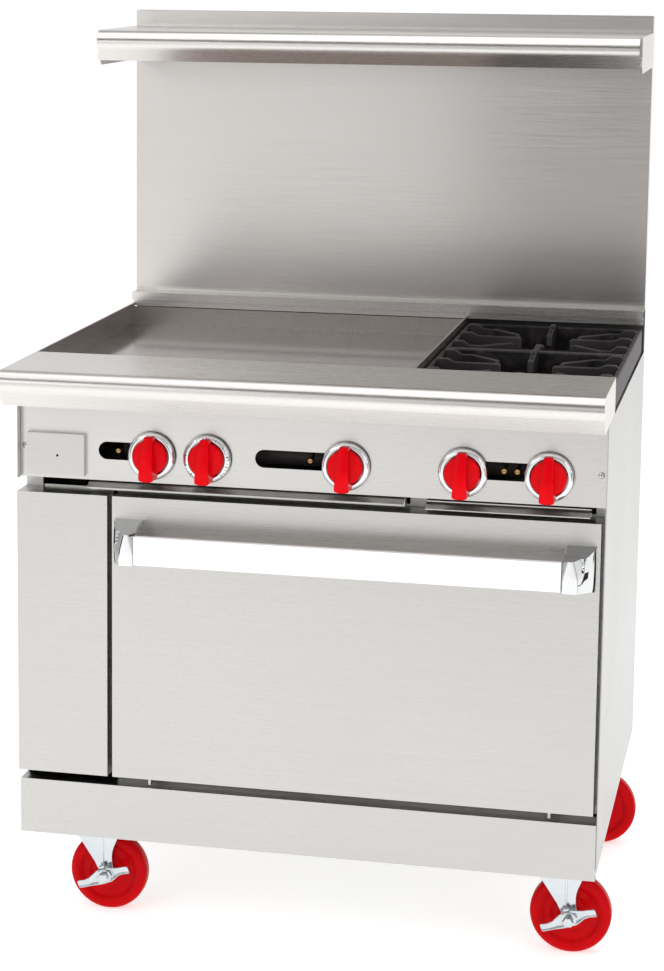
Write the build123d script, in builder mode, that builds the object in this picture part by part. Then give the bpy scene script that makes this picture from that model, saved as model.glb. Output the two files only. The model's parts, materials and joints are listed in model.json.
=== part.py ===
from build123d import *
import os

# Commercial gas range, 36 in wide: a 24 in griddle, two open burners, one oven below and a
# high shelf on a tall back riser, all on four swivel casters.
# Frame: origin on the floor under the middle of the range, +X to the right as seen by the cook,
# +Y towards the wall, +Z up. The cook stands on the -Y side. Millimetres.

# ---------------------------------------------------------------- driving dimensions
WIDTH = 914.4
DEPTH = 826.0
HEIGHT = 1435.0
SHEET = 1.5
GAP = 0.3

HALF = WIDTH / 2
FRONT = -DEPTH / 2
REAR = DEPTH / 2
FACE = FRONT + 93.0
PANEL = FACE + 16.0
INNER = HALF - SHEET

# heights
DECK = 156.5
KICK_BOTTOM = 151.0
KICK_TOP = 239.0
SIDE_BOTTOM = 164.0
DOOR_BOTTOM = 254.0
DOOR_TOP = 705.5
PANEL_BOTTOM = 726.5
SIDE_TOP = 853.2
LEDGE_BOTTOM = 853.5
LEDGE_TOP = 910.0
GRIDDLE_TOP = 873.0
LIP_TOP = 931.0
SHELF_BOTTOM = 1356.0
SHELF_TOP = 1407.0

# cooktop, from the cook's side to the wall
LEDGE_REAR = FACE + 103.0
LIP_FRONT = REAR - 63.0
RISER_FRONT = REAR - 30.0
SECTION_X = -HALF + 609.6

# fixed panel and oven door
PANEL_RIGHT = -311.0
DOOR_LEFT = -303.0
DOOR_RIGHT = 450.0
DOOR_MID = (DOOR_LEFT + DOOR_RIGHT) / 2
DOOR_REAR = FACE + 45.0
HINGE_Y = FACE + 20.0
HINGE_Z = DOOR_BOTTOM + 8.0
HINGE_X = (DOOR_MID - 314.0, DOOR_MID + 314.0)
PIN_R = 4.0

# oven
OVEN_HALF = 336.0
OVEN_FRONT = FACE + 49.0
OVEN_REAR = OVEN_FRONT + 571.5
OVEN_TOP = 645.0
OVEN_BOTTOM = 262.0
OVEN_FLOOR = 320.0
WOOL = 35.0

# controls
KNOB_Z = 770.0
KNOBS = {
    "knob_griddle_left": -243.0,
    "knob_thermostat": -154.5,
    "knob_griddle_right": 62.0,
    "knob_rear_burner": 240.5,
    "knob_front_burner": 370.0,
}
SLOT_Z = 774.0
SLOT_H = 28.0
SLOTS = ((-329.0, -272.0), (-80.0, 30.0), (262.0, 348.0))
STEM_R = 4.0
BEZEL_R = 37.5
MANIFOLD_Y = PANEL + 61.0
MANIFOLD_R = 16.7
INLET_X = 420.0
INLET_R = 13.35
INLET_LENGTH = 33.0

# burner section
GRATE_LEFT = 155.0
GRATE_RIGHT = 456.0
BURNER_X = (GRATE_LEFT + GRATE_RIGHT) / 2
GRATE_TOP = 905.0
GRATE_DEPTH = 281.0
GRATES = {"grate_front": LEDGE_REAR + 2.0, "grate_rear": LEDGE_REAR + 3.0 + GRATE_DEPTH}

# casters: the wheel trails its swivel along X, to the right except at the rear left
WHEEL_R = 63.5
WHEEL_W = 32.0
TRAIL = 38.5
PIVOT_X = 373.5
PIVOT_FRONT = FACE + 100.0
PIVOT_REAR = FACE + 600.0
CASTERS = {
    "front_left": (-PIVOT_X, PIVOT_FRONT, 1),
    "front_right": (PIVOT_X, PIVOT_FRONT, 1),
    "rear_left": (-PIVOT_X, PIVOT_REAR, -1),
    "rear_right": (PIVOT_X, PIVOT_REAR, 1),
}
AXLE_R = 6.0
CROWN_BOTTOM = 132.0
RACE_TOP = 152.0

os.makedirs("parts", exist_ok=True)


# ---------------------------------------------------------------- helpers
def slab(x, y, z, mode=Mode.ADD):
    """A box given by its low and high ends along each axis."""
    middle = ((x[0] + x[1]) / 2, (y[0] + y[1]) / 2, (z[0] + z[1]) / 2)
    with Locations(middle):
        Box(x[1] - x[0], y[1] - y[0], z[1] - z[0], mode=mode)


def rod(axis, radius, start, length, mode=Mode.ADD):
    """A round bar from a start point along +X, +Y or +Z."""
    turn = {"x": (0, 90, 0), "y": (-90, 0, 0), "z": (0, 0, 0)}[axis]
    with Locations(start):
        Cylinder(radius, length, rotation=turn, align=(Align.CENTER, Align.CENTER, Align.MIN), mode=mode)


def save(piece, label):
    """Name a finished piece and write it out."""
    piece.part.label = label
    export_step(piece.part, f"parts/{label}.step")


# ---------------------------------------------------------------- cabinet
# The left side panel is notched above the fixed panel, whose top flange lies in the notch, and it is
# cut back below the fixed panel, where the kick panel has a side of its own.
NOTCH_REAR = FACE + 50.3
NOTCH_X = -430.0
for side, name in ((-1, "side_panel_left"), (1, "side_panel_right")):
    with BuildPart() as side_panel:
        outer = sorted((side * HALF, side * INNER))
        fold = sorted((side * HALF, side * (HALF - 18)))
        slab(outer, (FACE + 1.7, REAR), (SIDE_BOTTOM, SIDE_TOP))
        slab(fold, (LEDGE_REAR, RISER_FRONT - 6), (SIDE_TOP - SHEET, SIDE_TOP))
        slab(fold, (PIVOT_FRONT, REAR), (SIDE_BOTTOM, SIDE_BOTTOM + SHEET))
        slab(fold, (REAR - SHEET, REAR), (SIDE_BOTTOM, SIDE_TOP))
        if side < 0:
            for cut in ((DOOR_TOP - SHEET - GAP, PANEL_BOTTOM), (SIDE_BOTTOM - 1, DOOR_BOTTOM - GAP)):
                slab((-HALF - 1, -INNER + 1), (FACE + 1, NOTCH_REAR), cut, Mode.SUBTRACT)
            slab((-HALF, NOTCH_X), (NOTCH_REAR, NOTCH_REAR + SHEET), (DOOR_TOP - SHEET, PANEL_BOTTOM + 3))
    save(side_panel, name)

BACK_Y = REAR - 25.0
with BuildPart() as back_panel:
    slab((-INNER + GAP, INNER - GAP), (BACK_Y, BACK_Y + SHEET), (SIDE_BOTTOM + 2, SIDE_TOP))
    rod("y", INLET_R + 1.5, (INLET_X, BACK_Y - 1, KNOB_Z), 2 * SHEET, Mode.SUBTRACT)
    for row in range(6):
        slab((-120, 120), (BACK_Y - 1, BACK_Y + 3), (220 + 14 * row, 226 + 14 * row), Mode.SUBTRACT)
save(back_panel, "back_panel")

BASE_REAR = BACK_Y - 2.0
with BuildPart() as base_pan:
    slab((-INNER + GAP, INNER - GAP), (OVEN_FRONT, BASE_REAR), (DECK, DECK + 3))
    for end in (-1, 1):
        rail = sorted((end * (INNER - 20), end * (INNER - 23)))
        slab(rail, (OVEN_FRONT, BASE_REAR), (DECK + 3, 222))
    slab((-432, 432), (OVEN_FRONT, OVEN_FRONT + 3), (DECK + 3, 222))
    slab((-432, 432), (BASE_REAR - 3, BASE_REAR), (DECK + 3, 222))
save(base_pan, "base_pan")

KICK_FACE = FACE + 3.0
with BuildPart() as kick_panel:
    slab((-455, 455), (KICK_FACE, KICK_FACE + SHEET), (KICK_BOTTOM, KICK_TOP))
    slab((-455, 455), (KICK_FACE, KICK_FACE + 20), (KICK_BOTTOM, KICK_BOTTOM + SHEET))
    slab((-455, 455), (KICK_FACE, OVEN_FRONT - 1), (KICK_TOP - SHEET, KICK_TOP))
    for end in (-1, 1):
        tab = sorted((end * 455, end * (455 - SHEET)))
        slab(tab, (KICK_FACE, OVEN_FRONT), (SIDE_BOTTOM + 3, KICK_TOP))
save(kick_panel, "kick_panel")

with BuildPart() as left_front_panel:
    slab((-HALF, PANEL_RIGHT), (FACE, FACE + SHEET), (DOOR_BOTTOM, DOOR_TOP))
    slab((PANEL_RIGHT - SHEET, PANEL_RIGHT), (FACE, FACE + 44), (DOOR_BOTTOM, DOOR_TOP))
    slab((-INNER + GAP, PANEL_RIGHT), (FACE, FACE + 30), (DOOR_BOTTOM, DOOR_BOTTOM + SHEET))
    slab((-HALF, PANEL_RIGHT), (FACE, NOTCH_REAR - GAP), (DOOR_TOP - SHEET, DOOR_TOP))
    slab((NOTCH_X + 3, PANEL_RIGHT), (NOTCH_REAR - GAP - SHEET, NOTCH_REAR - GAP), (DOOR_TOP, DOOR_TOP + 3))
save(left_front_panel, "left_front_panel")

DRAWER_X = (-443.0, -350.0)
with BuildPart() as control_panel:
    slab((-INNER + GAP, INNER - GAP), (PANEL, PANEL + SHEET), (PANEL_BOTTOM, LEDGE_BOTTOM - 0.2))
    slab((-INNER + GAP, INNER - GAP), (PANEL, PANEL + 25), (LEDGE_BOTTOM - 0.2 - SHEET, LEDGE_BOTTOM - 0.2))
    slab((DRAWER_X[0] + 6, DRAWER_X[1] - 6), (PANEL - 1, PANEL + 3), (731, 792), Mode.SUBTRACT)
    for left, right in SLOTS:
        slab((left + SLOT_H / 2, right), (PANEL - 1, PANEL + 3), (SLOT_Z - SLOT_H / 2, SLOT_Z + SLOT_H / 2),
             Mode.SUBTRACT)
    for left, right in SLOTS[:2]:
        rod("y", SLOT_H / 2, (left + SLOT_H / 2, PANEL - 1, SLOT_Z), 4, Mode.SUBTRACT)
    slab((SLOTS[2][0], SLOTS[2][0] + SLOT_H), (PANEL - 1, PANEL + 3),
         (SLOT_Z - SLOT_H / 2, SLOT_Z + SLOT_H / 2), Mode.SUBTRACT)
    for x in KNOBS.values():
        rod("y", STEM_R + 2, (x, PANEL - 1, KNOB_Z), 4, Mode.SUBTRACT)
    for x in (-448, 447):
        rod("y", 2.3, (x, PANEL - 1, 776), 4, Mode.SUBTRACT)
save(control_panel, "control_panel")

with BuildPart() as panel_screws:
    for x in (-448, 447):
        rod("y", 2.1, (x, PANEL - 0.5, 776), 10)
        rod("y", 4.8, (x, PANEL - 2.6, 776), 2.4)
save(panel_screws, "panel_screws")

# The front ledge is a bull-nosed box: flat on top, round at the nose, then sloping back under.
NOSE_R = 20.0
NOSE_SWEEP = 130.0
with BuildPart() as front_ledge:
    with BuildSketch(Plane.YZ):
        with BuildLine():
            nose = CenterArc((FRONT + NOSE_R, LEDGE_TOP - NOSE_R), NOSE_R, 90, NOSE_SWEEP)
            Polyline(nose @ 1, (FRONT + 25, LEDGE_BOTTOM), (LEDGE_REAR, LEDGE_BOTTOM),
                     (LEDGE_REAR, LEDGE_TOP), nose @ 0)
        make_face()
    extrude(amount=HALF, both=True)
    with BuildSketch(Plane.YZ):
        with BuildLine():
            inner = CenterArc((FRONT + NOSE_R, LEDGE_TOP - NOSE_R), NOSE_R - SHEET, 90, NOSE_SWEEP)
            Polyline(inner @ 1, (FRONT + 27, LEDGE_BOTTOM + SHEET),
                     (LEDGE_REAR - SHEET, LEDGE_BOTTOM + SHEET),
                     (LEDGE_REAR - SHEET, LEDGE_TOP - SHEET), inner @ 0)
        make_face()
    extrude(amount=HALF - 3, both=True, mode=Mode.SUBTRACT)
    slab((-INNER + 15, INNER - 15), (PANEL + 30, LEDGE_REAR - 12), (LEDGE_BOTTOM - 1, LEDGE_BOTTOM + 4),
         Mode.SUBTRACT)
save(front_ledge, "front_ledge")

# ---------------------------------------------------------------- griddle
TROUGH_REAR = LEDGE_REAR + 68.0
SPLASH_REAR = LIP_FRONT + 6.0
PLATE = 19.0
CHUTE_X = (-422.0, -372.0)
CHUTE_Y = (LEDGE_REAR + 12, LEDGE_REAR + 56)
with BuildPart() as griddle_plate:
    slab((-HALF + 3.2, SECTION_X - 3.2), (TROUGH_REAR + 0.2, SPLASH_REAR - 0.2),
         (GRIDDLE_TOP - PLATE, GRIDDLE_TOP))
save(griddle_plate, "griddle_plate")

with BuildPart() as griddle_splash:
    slab((-HALF, -HALF + 3), (LEDGE_REAR + 0.2, SPLASH_REAR + 3), (SIDE_TOP + 0.3, LEDGE_TOP))
    slab((SECTION_X - 3, SECTION_X), (LEDGE_REAR + 0.2, SPLASH_REAR + 3), (SIDE_TOP + 0.3, LEDGE_TOP))
    slab((-HALF, SECTION_X), (SPLASH_REAR, SPLASH_REAR + 3), (SIDE_TOP + 0.3, 904))
save(griddle_splash, "griddle_splash")

TROUGH_X = (-HALF + 3.2, SECTION_X - 3.2)
TROUGH_WALL = 2.0
with BuildPart() as grease_trough:
    slab(TROUGH_X, (LEDGE_REAR + 0.2, TROUGH_REAR), (SIDE_TOP + 0.3, SIDE_TOP + 0.3 + TROUGH_WALL))
    slab(TROUGH_X, (LEDGE_REAR + 0.2, LEDGE_REAR + 0.2 + TROUGH_WALL), (SIDE_TOP + 0.3, LEDGE_TOP - 8))
    slab(TROUGH_X, (TROUGH_REAR - TROUGH_WALL, TROUGH_REAR), (SIDE_TOP + 0.3, GRIDDLE_TOP - 2))
    slab((CHUTE_X[0] - 2, CHUTE_X[1] + 2), (CHUTE_Y[0] - 2, CHUTE_Y[1] + 2), (797, SIDE_TOP + 1))
    slab(CHUTE_X, CHUTE_Y, (790, SIDE_TOP + 5), Mode.SUBTRACT)
save(grease_trough, "grease_trough")

with BuildPart() as griddle_burners:
    for x in (KNOBS["knob_griddle_left"], KNOBS["knob_griddle_right"]):
        rod("y", 19, (x, MANIFOLD_Y + 60, 822), 440)
        rod("y", 15.5, (x, MANIFOLD_Y + 61, 822), 437, Mode.SUBTRACT)
        slab((x - 14, x + 14), (MANIFOLD_Y + 45, MANIFOLD_Y + 95), (762, 806))
        slab((x - 11, x + 11), (MANIFOLD_Y + 44, MANIFOLD_Y + 92), (765, 812), Mode.SUBTRACT)
save(griddle_burners, "griddle_burners")

# ---------------------------------------------------------------- open burners
WELL_X = (SECTION_X + 1.5, HALF - 20.0)
WELL_Y = (LEDGE_REAR + 4.0, RISER_FRONT - 4.0)
WELL_HOLE_R = 56.0
BURNERS = (LEDGE_REAR + 2 + GRATE_DEPTH / 2, LEDGE_REAR + 3 + 1.5 * GRATE_DEPTH)
with BuildPart() as burner_well:
    slab(WELL_X, WELL_Y, (800, SIDE_TOP))
    slab((WELL_X[0] + SHEET, WELL_X[1] - SHEET), (WELL_Y[0] + SHEET, WELL_Y[1] - SHEET),
         (800 + SHEET, SIDE_TOP + 1), Mode.SUBTRACT)
    for y in BURNERS:
        rod("z", WELL_HOLE_R, (BURNER_X, y, 799), 4, Mode.SUBTRACT)
save(burner_well, "burner_well")

with BuildPart() as burner_heads:
    for y, x in zip(BURNERS, (KNOBS["knob_front_burner"], KNOBS["knob_rear_burner"])):
        rod("z", 30, (BURNER_X, y, 806), 20)
        rod("z", 50, (BURNER_X, y, 826), 12)
        rod("z", 44, (BURNER_X, y, 838), 10)
        rod("z", 16, (BURNER_X, y, 838), 20, Mode.SUBTRACT)
        slab((min(x, BURNER_X) - 9, max(x, BURNER_X) + 9), (y - 9, y + 9), (806, 824))
        slab((x - 9, x + 9), (WELL_Y[0] + 5, y), (806, 824))
save(burner_heads, "burner_heads")

# Each grate is a frame with three fingers from either side, leaning in towards the burner,
# and one from the front and the rear.
RIM = 9.0
RIM_TOP = GRATE_TOP - 6.0
FINGER = 8.0
FOOT = SIDE_TOP + GAP
FINGERS = ((-93.0, -48.0, 50.0), (0.0, 0.0, 41.0), (93.0, 48.0, 50.0))
RADIAL_TIP = 58.0
for name, near in GRATES.items():
    far = near + GRATE_DEPTH
    mid = (near + far) / 2
    ends = [(Vector(BURNER_X, near + RIM / 2, 0), Vector(BURNER_X, mid - RADIAL_TIP, 0)),
            (Vector(BURNER_X, far - RIM / 2, 0), Vector(BURNER_X, mid + RADIAL_TIP, 0))]
    for side, rim_x in ((-1, GRATE_LEFT + RIM / 2), (1, GRATE_RIGHT - RIM / 2)):
        for root, tip, inner in FINGERS:
            ends.append((Vector(rim_x, mid + root, 0), Vector(BURNER_X + side * inner, mid + tip, 0)))
    # each finger is a tall web, flat on top near the rim and lower at its tip
    with BuildPart() as grate:
        slab((GRATE_LEFT, GRATE_RIGHT), (near, far), (FOOT, RIM_TOP))
        slab((GRATE_LEFT + RIM, GRATE_RIGHT - RIM), (near + RIM, far - RIM), (FOOT - 1, RIM_TOP + 1),
             Mode.SUBTRACT)
        for start, end in ends:
            way = (end - start).normalized()
            reach = (end - start).length
            with BuildSketch(Plane(origin=start, x_dir=way, z_dir=way.cross(Vector(0, 0, 1)))):
                with BuildLine():
                    Polyline((0, FOOT + 4), (0, GRATE_TOP - 8), (8, GRATE_TOP), (0.3 * reach, GRATE_TOP),
                             (0.5 * reach, GRATE_TOP - 4), (reach, GRATE_TOP - 5), (reach, GRATE_TOP - 27),
                             (0.45 * reach, FOOT + 12), close=True)
                make_face()
            extrude(amount=FINGER / 2, both=True)
    save(grate, name)

# ---------------------------------------------------------------- back riser and shelf
with BuildPart() as flue_lip:
    slab((-HALF, HALF), (LIP_FRONT, RISER_FRONT - 0.2), (LIP_TOP - SHEET, LIP_TOP))
    slab((-HALF, HALF), (LIP_FRONT, LIP_FRONT + SHEET), (LIP_TOP - 14, LIP_TOP))
    slab((-HALF, HALF), (LIP_FRONT, LIP_FRONT + 12), (LIP_TOP - 14, LIP_TOP - 14 + SHEET))
    slab((-HALF, HALF), (LIP_FRONT + 12 - SHEET, LIP_FRONT + 12), (LIP_TOP - 26, LIP_TOP - 14 + SHEET))
save(flue_lip, "flue_lip")

with BuildPart() as backguard:
    slab((-HALF, HALF), (RISER_FRONT, REAR), (LIP_TOP, HEIGHT))
    slab((-INNER, INNER), (RISER_FRONT + SHEET, REAR - SHEET), (LIP_TOP - 1, HEIGHT + 1), Mode.SUBTRACT)
save(backguard, "backguard")

SHELF_FRONT = FACE + 436.0
CAP = 3.4
SHELF_HALF = HALF - CAP
with BuildPart() as high_shelf:
    with BuildSketch(Plane.YZ):
        with BuildLine():
            Line((RISER_FRONT - 0.3, SHELF_TOP), (SHELF_FRONT + NOSE_R, SHELF_TOP))
            edge = CenterArc((SHELF_FRONT + NOSE_R, SHELF_TOP - NOSE_R), NOSE_R, 90, NOSE_SWEEP)
            Polyline(edge @ 1, (SHELF_FRONT + 20, SHELF_BOTTOM), (SHELF_FRONT + 36, SHELF_BOTTOM))
            offset(amount=SHEET, side=Side.LEFT)
        make_face()
    extrude(amount=SHELF_HALF, both=True)
    slab((-SHELF_HALF, SHELF_HALF), (RISER_FRONT - 0.3 - SHEET, RISER_FRONT - 0.3), (SHELF_TOP, SHELF_TOP + 5))
    for plane_x in (-HALF, SHELF_HALF):
        with BuildSketch(Plane.YZ.offset(plane_x)):
            with BuildLine():
                Polyline((SHELF_FRONT + 20, SHELF_TOP), (RISER_FRONT - 0.3, SHELF_TOP),
                         (RISER_FRONT - 0.3, SHELF_BOTTOM - 8), (SHELF_FRONT + 30, SHELF_BOTTOM - 8),
                         (SHELF_FRONT + 20, SHELF_BOTTOM + 4), close=True)
            make_face()
        extrude(amount=CAP)
save(high_shelf, "high_shelf")

with BuildPart() as oven_flue:
    slab((-HALF + 0.5, HALF - 0.5), (RISER_FRONT + 2, REAR - 3), (SIDE_TOP + 0.5, LIP_TOP - 2))
    slab((-150, 150), (OVEN_REAR + WOOL + 2, BACK_Y - 0.5), (540, SIDE_TOP))
    slab((-150, 150), (SPLASH_REAR + 4, RISER_FRONT + 3), (SIDE_TOP - 1, SIDE_TOP + 20))
    slab((-HALF + 2, HALF - 2), (RISER_FRONT + 3.5, REAR - 4.5), (SIDE_TOP + 2, LIP_TOP + 1), Mode.SUBTRACT)
    slab((-148, 148), (OVEN_REAR + WOOL + 4, BACK_Y - 2), (538, SIDE_TOP - 2), Mode.SUBTRACT)
    slab((-148, 148), (SPLASH_REAR + 6, BACK_Y - 2), (SIDE_TOP - 3, SIDE_TOP + 18), Mode.SUBTRACT)
save(oven_flue, "oven_flue")

# ---------------------------------------------------------------- oven
OVEN_X = (DOOR_MID - OVEN_HALF, DOOR_MID + OVEN_HALF)
with BuildPart() as oven_liner:
    slab((OVEN_X[0] - SHEET, OVEN_X[1] + SHEET), (OVEN_FRONT + 2, OVEN_REAR), (OVEN_BOTTOM, OVEN_TOP + SHEET))
    slab(OVEN_X, (OVEN_FRONT, OVEN_REAR - SHEET), (OVEN_BOTTOM + SHEET, OVEN_TOP), Mode.SUBTRACT)
    slab((-100, 100), (OVEN_REAR - 3, OVEN_REAR + 1), (560, 584), Mode.SUBTRACT)
save(oven_liner, "oven_liner")

with BuildPart() as oven_insulation:
    slab((OVEN_X[0] - WOOL, OVEN_X[1] + WOOL), (OVEN_FRONT + 2, OVEN_REAR + WOOL),
         (OVEN_BOTTOM - 30, OVEN_TOP + WOOL))
    slab((OVEN_X[0] - 2, OVEN_X[1] + 2), (OVEN_FRONT, OVEN_REAR + 0.5), (OVEN_BOTTOM - 0.5, OVEN_TOP + 2),
         Mode.SUBTRACT)
    slab((-100, 100), (OVEN_REAR - 1, OVEN_REAR + WOOL + 1), (560, 584), Mode.SUBTRACT)
save(oven_insulation, "oven_insulation")

with BuildPart() as oven_face_frame:
    slab((DOOR_LEFT - 4, INNER - GAP), (OVEN_FRONT, OVEN_FRONT + SHEET), (KICK_TOP + 3, 709))
    slab(OVEN_X, (OVEN_FRONT - 1, OVEN_FRONT + 3), (OVEN_FLOOR - 4, OVEN_TOP), Mode.SUBTRACT)
    for x in ((156, 182), (438, INNER - GAP)):
        slab(x, (OVEN_FRONT, OVEN_FRONT + SHEET), (708, PANEL_BOTTOM - 0.5))
save(oven_face_frame, "oven_face_frame")

with BuildPart() as oven_floor:
    slab((OVEN_X[0] + 1, OVEN_X[1] - 1), (OVEN_FRONT + 4, OVEN_REAR - 4), (OVEN_FLOOR, OVEN_FLOOR + 2))
    slab((OVEN_X[0] + 1, OVEN_X[1] - 1), (OVEN_FRONT + 4, OVEN_FRONT + 6), (OVEN_BOTTOM + 2, OVEN_FLOOR))
    with GridLocations(60, 400, 10, 2):
        Cylinder(6, 2000, mode=Mode.SUBTRACT)
save(oven_floor, "oven_floor")

with BuildPart() as oven_burner:
    rod("y", 22, (DOOR_MID, OVEN_FRONT + 40, 292), 470)
    rod("y", 19, (DOOR_MID, OVEN_FRONT + 38, 292), 469, Mode.SUBTRACT)
    slab((DOOR_MID - 20, DOOR_MID + 20), (OVEN_FRONT + 60, OVEN_FRONT + 80), (OVEN_BOTTOM + 2, 274))
    slab((DOOR_MID - 20, DOOR_MID + 20), (OVEN_FRONT + 460, OVEN_FRONT + 480), (OVEN_BOTTOM + 2, 274))
save(oven_burner, "oven_burner")

RACK_Z = 480.0
with BuildPart() as rack_guides:
    for side, wall in ((1, OVEN_X[0]), (-1, OVEN_X[1])):
        plate = sorted((wall + 0.5 * side, wall + 2.5 * side))
        ledge = sorted((wall + 2 * side, wall + 14 * side))
        for y in (OVEN_FRONT + 60, OVEN_REAR - 80):
            slab(plate, (y, y + 20), (340, 620))
        for z in (RACK_Z - 110, RACK_Z - 55, RACK_Z, RACK_Z + 55, RACK_Z + 110):
            slab(ledge, (OVEN_FRONT + 30, OVEN_REAR - 20), (z - 2, z))
            slab(plate, (OVEN_FRONT + 30, OVEN_REAR - 20), (z - 2, z + 6))
save(rack_guides, "rack_guides")

RACK_X = (OVEN_X[0] + 6, OVEN_X[1] - 6)
RACK_Y = (OVEN_FRONT + 25, OVEN_REAR - 25)
WIRE = 3.5
WIRES = 15
with BuildPart() as oven_rack:
    for y in (RACK_Y[0] + 10, (RACK_Y[0] + RACK_Y[1]) / 2, RACK_Y[1] - 10):
        rod("x", WIRE, (RACK_X[0], y, RACK_Z + GAP + WIRE), RACK_X[1] - RACK_X[0])
    for i in range(WIRES + 1):
        x = RACK_X[0] + 6 + i * (RACK_X[1] - RACK_X[0] - 12) / WIRES
        rod("y", 2.6, (x, RACK_Y[0], RACK_Z + GAP + 2 * WIRE + 1), RACK_Y[1] - RACK_Y[0])
save(oven_rack, "oven_rack")

with BuildPart() as thermostat_bulb:
    rod("y", 4.5, (OVEN_X[0] + 60, OVEN_REAR - 170, OVEN_TOP - 12), 130)
    for y in (OVEN_REAR - 150, OVEN_REAR - 70):
        slab((OVEN_X[0] + 56, OVEN_X[0] + 64), (y, y + 8), (OVEN_TOP - 14, OVEN_TOP))
save(thermostat_bulb, "thermostat_bulb")

# ---------------------------------------------------------------- oven door, hinged along its lower edge
with BuildPart() as hinge_receivers:
    for x in HINGE_X:
        slab((x - 16, x + 16), (OVEN_FRONT - 2, OVEN_FRONT), (KICK_TOP + 4, 275))
        slab((x - 2.5, x + 2.5), (HINGE_Y, OVEN_FRONT - 1), (HINGE_Z - 7, HINGE_Z + 7))
        rod("x", 7, (x - 2.5, HINGE_Y, HINGE_Z), 5)
        rod("x", PIN_R + 0.05, (x - 4, HINGE_Y, HINGE_Z), 8, Mode.SUBTRACT)
save(hinge_receivers, "hinge_receivers")

with BuildPart() as hinge_arms:
    for x in HINGE_X:
        slab((x - 14, x + 14), (FACE + 2, FACE + 6), (DOOR_BOTTOM + 3, 330))
        for cheek in ((x - 7, x - 2.9), (x + 2.9, x + 7)):
            slab(cheek, (FACE + 5, HINGE_Y + 7), (HINGE_Z - 6, HINGE_Z + 12))
        slab((x - 7, x - 2.9), (FACE + 12, HINGE_Y), (KICK_TOP + 2, HINGE_Z))
        rod("x", PIN_R, (x - 7, HINGE_Y, HINGE_Z), 14)
save(hinge_arms, "hinge_arms")

# A clear pocket at each hinge, open at the back and the bottom of the door.
POCKET_Y = (FACE + 11, DOOR_REAR + 1)
with BuildPart() as door_outer_panel:
    slab((DOOR_LEFT, DOOR_RIGHT), (FACE, DOOR_REAR - 2), (DOOR_BOTTOM, DOOR_TOP))
    slab((DOOR_LEFT + SHEET, DOOR_RIGHT - SHEET), (FACE + SHEET, DOOR_REAR),
         (DOOR_BOTTOM + SHEET, DOOR_TOP - SHEET), Mode.SUBTRACT)
    for x in HINGE_X:
        slab((x - 9, x + 9), POCKET_Y, (DOOR_BOTTOM - 1, DOOR_BOTTOM + 3), Mode.SUBTRACT)
save(door_outer_panel, "door_outer_panel")

with BuildPart() as door_insulation:
    slab((DOOR_LEFT + 2, DOOR_RIGHT - 2), (FACE + 2, DOOR_REAR - 2), (DOOR_BOTTOM + 2, DOOR_TOP - 2))
    for x in HINGE_X:
        slab((x - 16, x + 16), (FACE, DOOR_REAR + 1), (DOOR_BOTTOM, 332), Mode.SUBTRACT)
save(door_insulation, "door_insulation")

with BuildPart() as door_inner_liner:
    slab((DOOR_LEFT, DOOR_RIGHT), (DOOR_REAR - 1.8, DOOR_REAR), (DOOR_BOTTOM, DOOR_TOP))
    for x in HINGE_X:
        slab((x - 9, x + 9), POCKET_Y, (DOOR_BOTTOM - 1, HINGE_Z + 14), Mode.SUBTRACT)
save(door_inner_liner, "door_inner_liner")

with BuildPart() as door_gasket:
    slab((OVEN_X[0] - 22, OVEN_X[1] + 22), (DOOR_REAR, OVEN_FRONT - GAP), (OVEN_FLOOR - 26, OVEN_TOP + 22))
    slab((OVEN_X[0] - 10, OVEN_X[1] + 10), (DOOR_REAR - 1, OVEN_FRONT), (OVEN_FLOOR - 14, OVEN_TOP + 10),
         Mode.SUBTRACT)
save(door_gasket, "door_gasket")

# The handle is a flat bar between two cast brackets that flare out to the door.
BAR_Z = DOOR_TOP - 69.0
BAR_FRONT = FACE - 64.0
BAR_HALF = 324.5
BRACKET_W = 27.0
BRACKET_H = 50.0
FOOT_W = 48.0
FOOT_H = 70.0
with BuildPart() as handle_brackets:
    for side in (-1, 1):
        foot = DOOR_MID + side * (BAR_HALF + FOOT_W / 2)
        tip = DOOR_MID + side * (BAR_HALF + BRACKET_W / 2)
        with BuildSketch(Plane.XZ.offset(-FACE)):
            with Locations((foot, BAR_Z)):
                RectangleRounded(FOOT_W, FOOT_H, 6)
        with BuildSketch(Plane.XZ.offset(-BAR_FRONT - 12)):
            with Locations((tip, BAR_Z)):
                RectangleRounded(BRACKET_W, BRACKET_H, 6)
        loft()
        with BuildSketch(Plane.XZ.offset(-BAR_FRONT - 12)):
            with Locations((tip, BAR_Z)):
                RectangleRounded(BRACKET_W, BRACKET_H, 6)
        extrude(amount=12)
save(handle_brackets, "handle_brackets")

with BuildPart() as handle_bar:
    slab((DOOR_MID - BAR_HALF, DOOR_MID + BAR_HALF), (BAR_FRONT, BAR_FRONT + 10), (BAR_Z - 22, BAR_Z + 22))
save(handle_bar, "handle_bar")

# ---------------------------------------------------------------- gas train and controls
with BuildPart() as gas_manifold:
    rod("x", MANIFOLD_R, (-300, MANIFOLD_Y, KNOB_Z), INLET_X + 300)
    rod("y", MANIFOLD_R, (INLET_X, MANIFOLD_Y, KNOB_Z), REAR - INLET_LENGTH - MANIFOLD_Y)
    rod("y", INLET_R, (INLET_X, MANIFOLD_Y, KNOB_Z), REAR - MANIFOLD_Y)
    rod("x", 12.5, (-290, MANIFOLD_Y, KNOB_Z), INLET_X + 290, Mode.SUBTRACT)
    rod("y", 10.5, (INLET_X, MANIFOLD_Y, KNOB_Z), REAR - MANIFOLD_Y, Mode.SUBTRACT)
save(gas_manifold, "gas_manifold")

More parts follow.
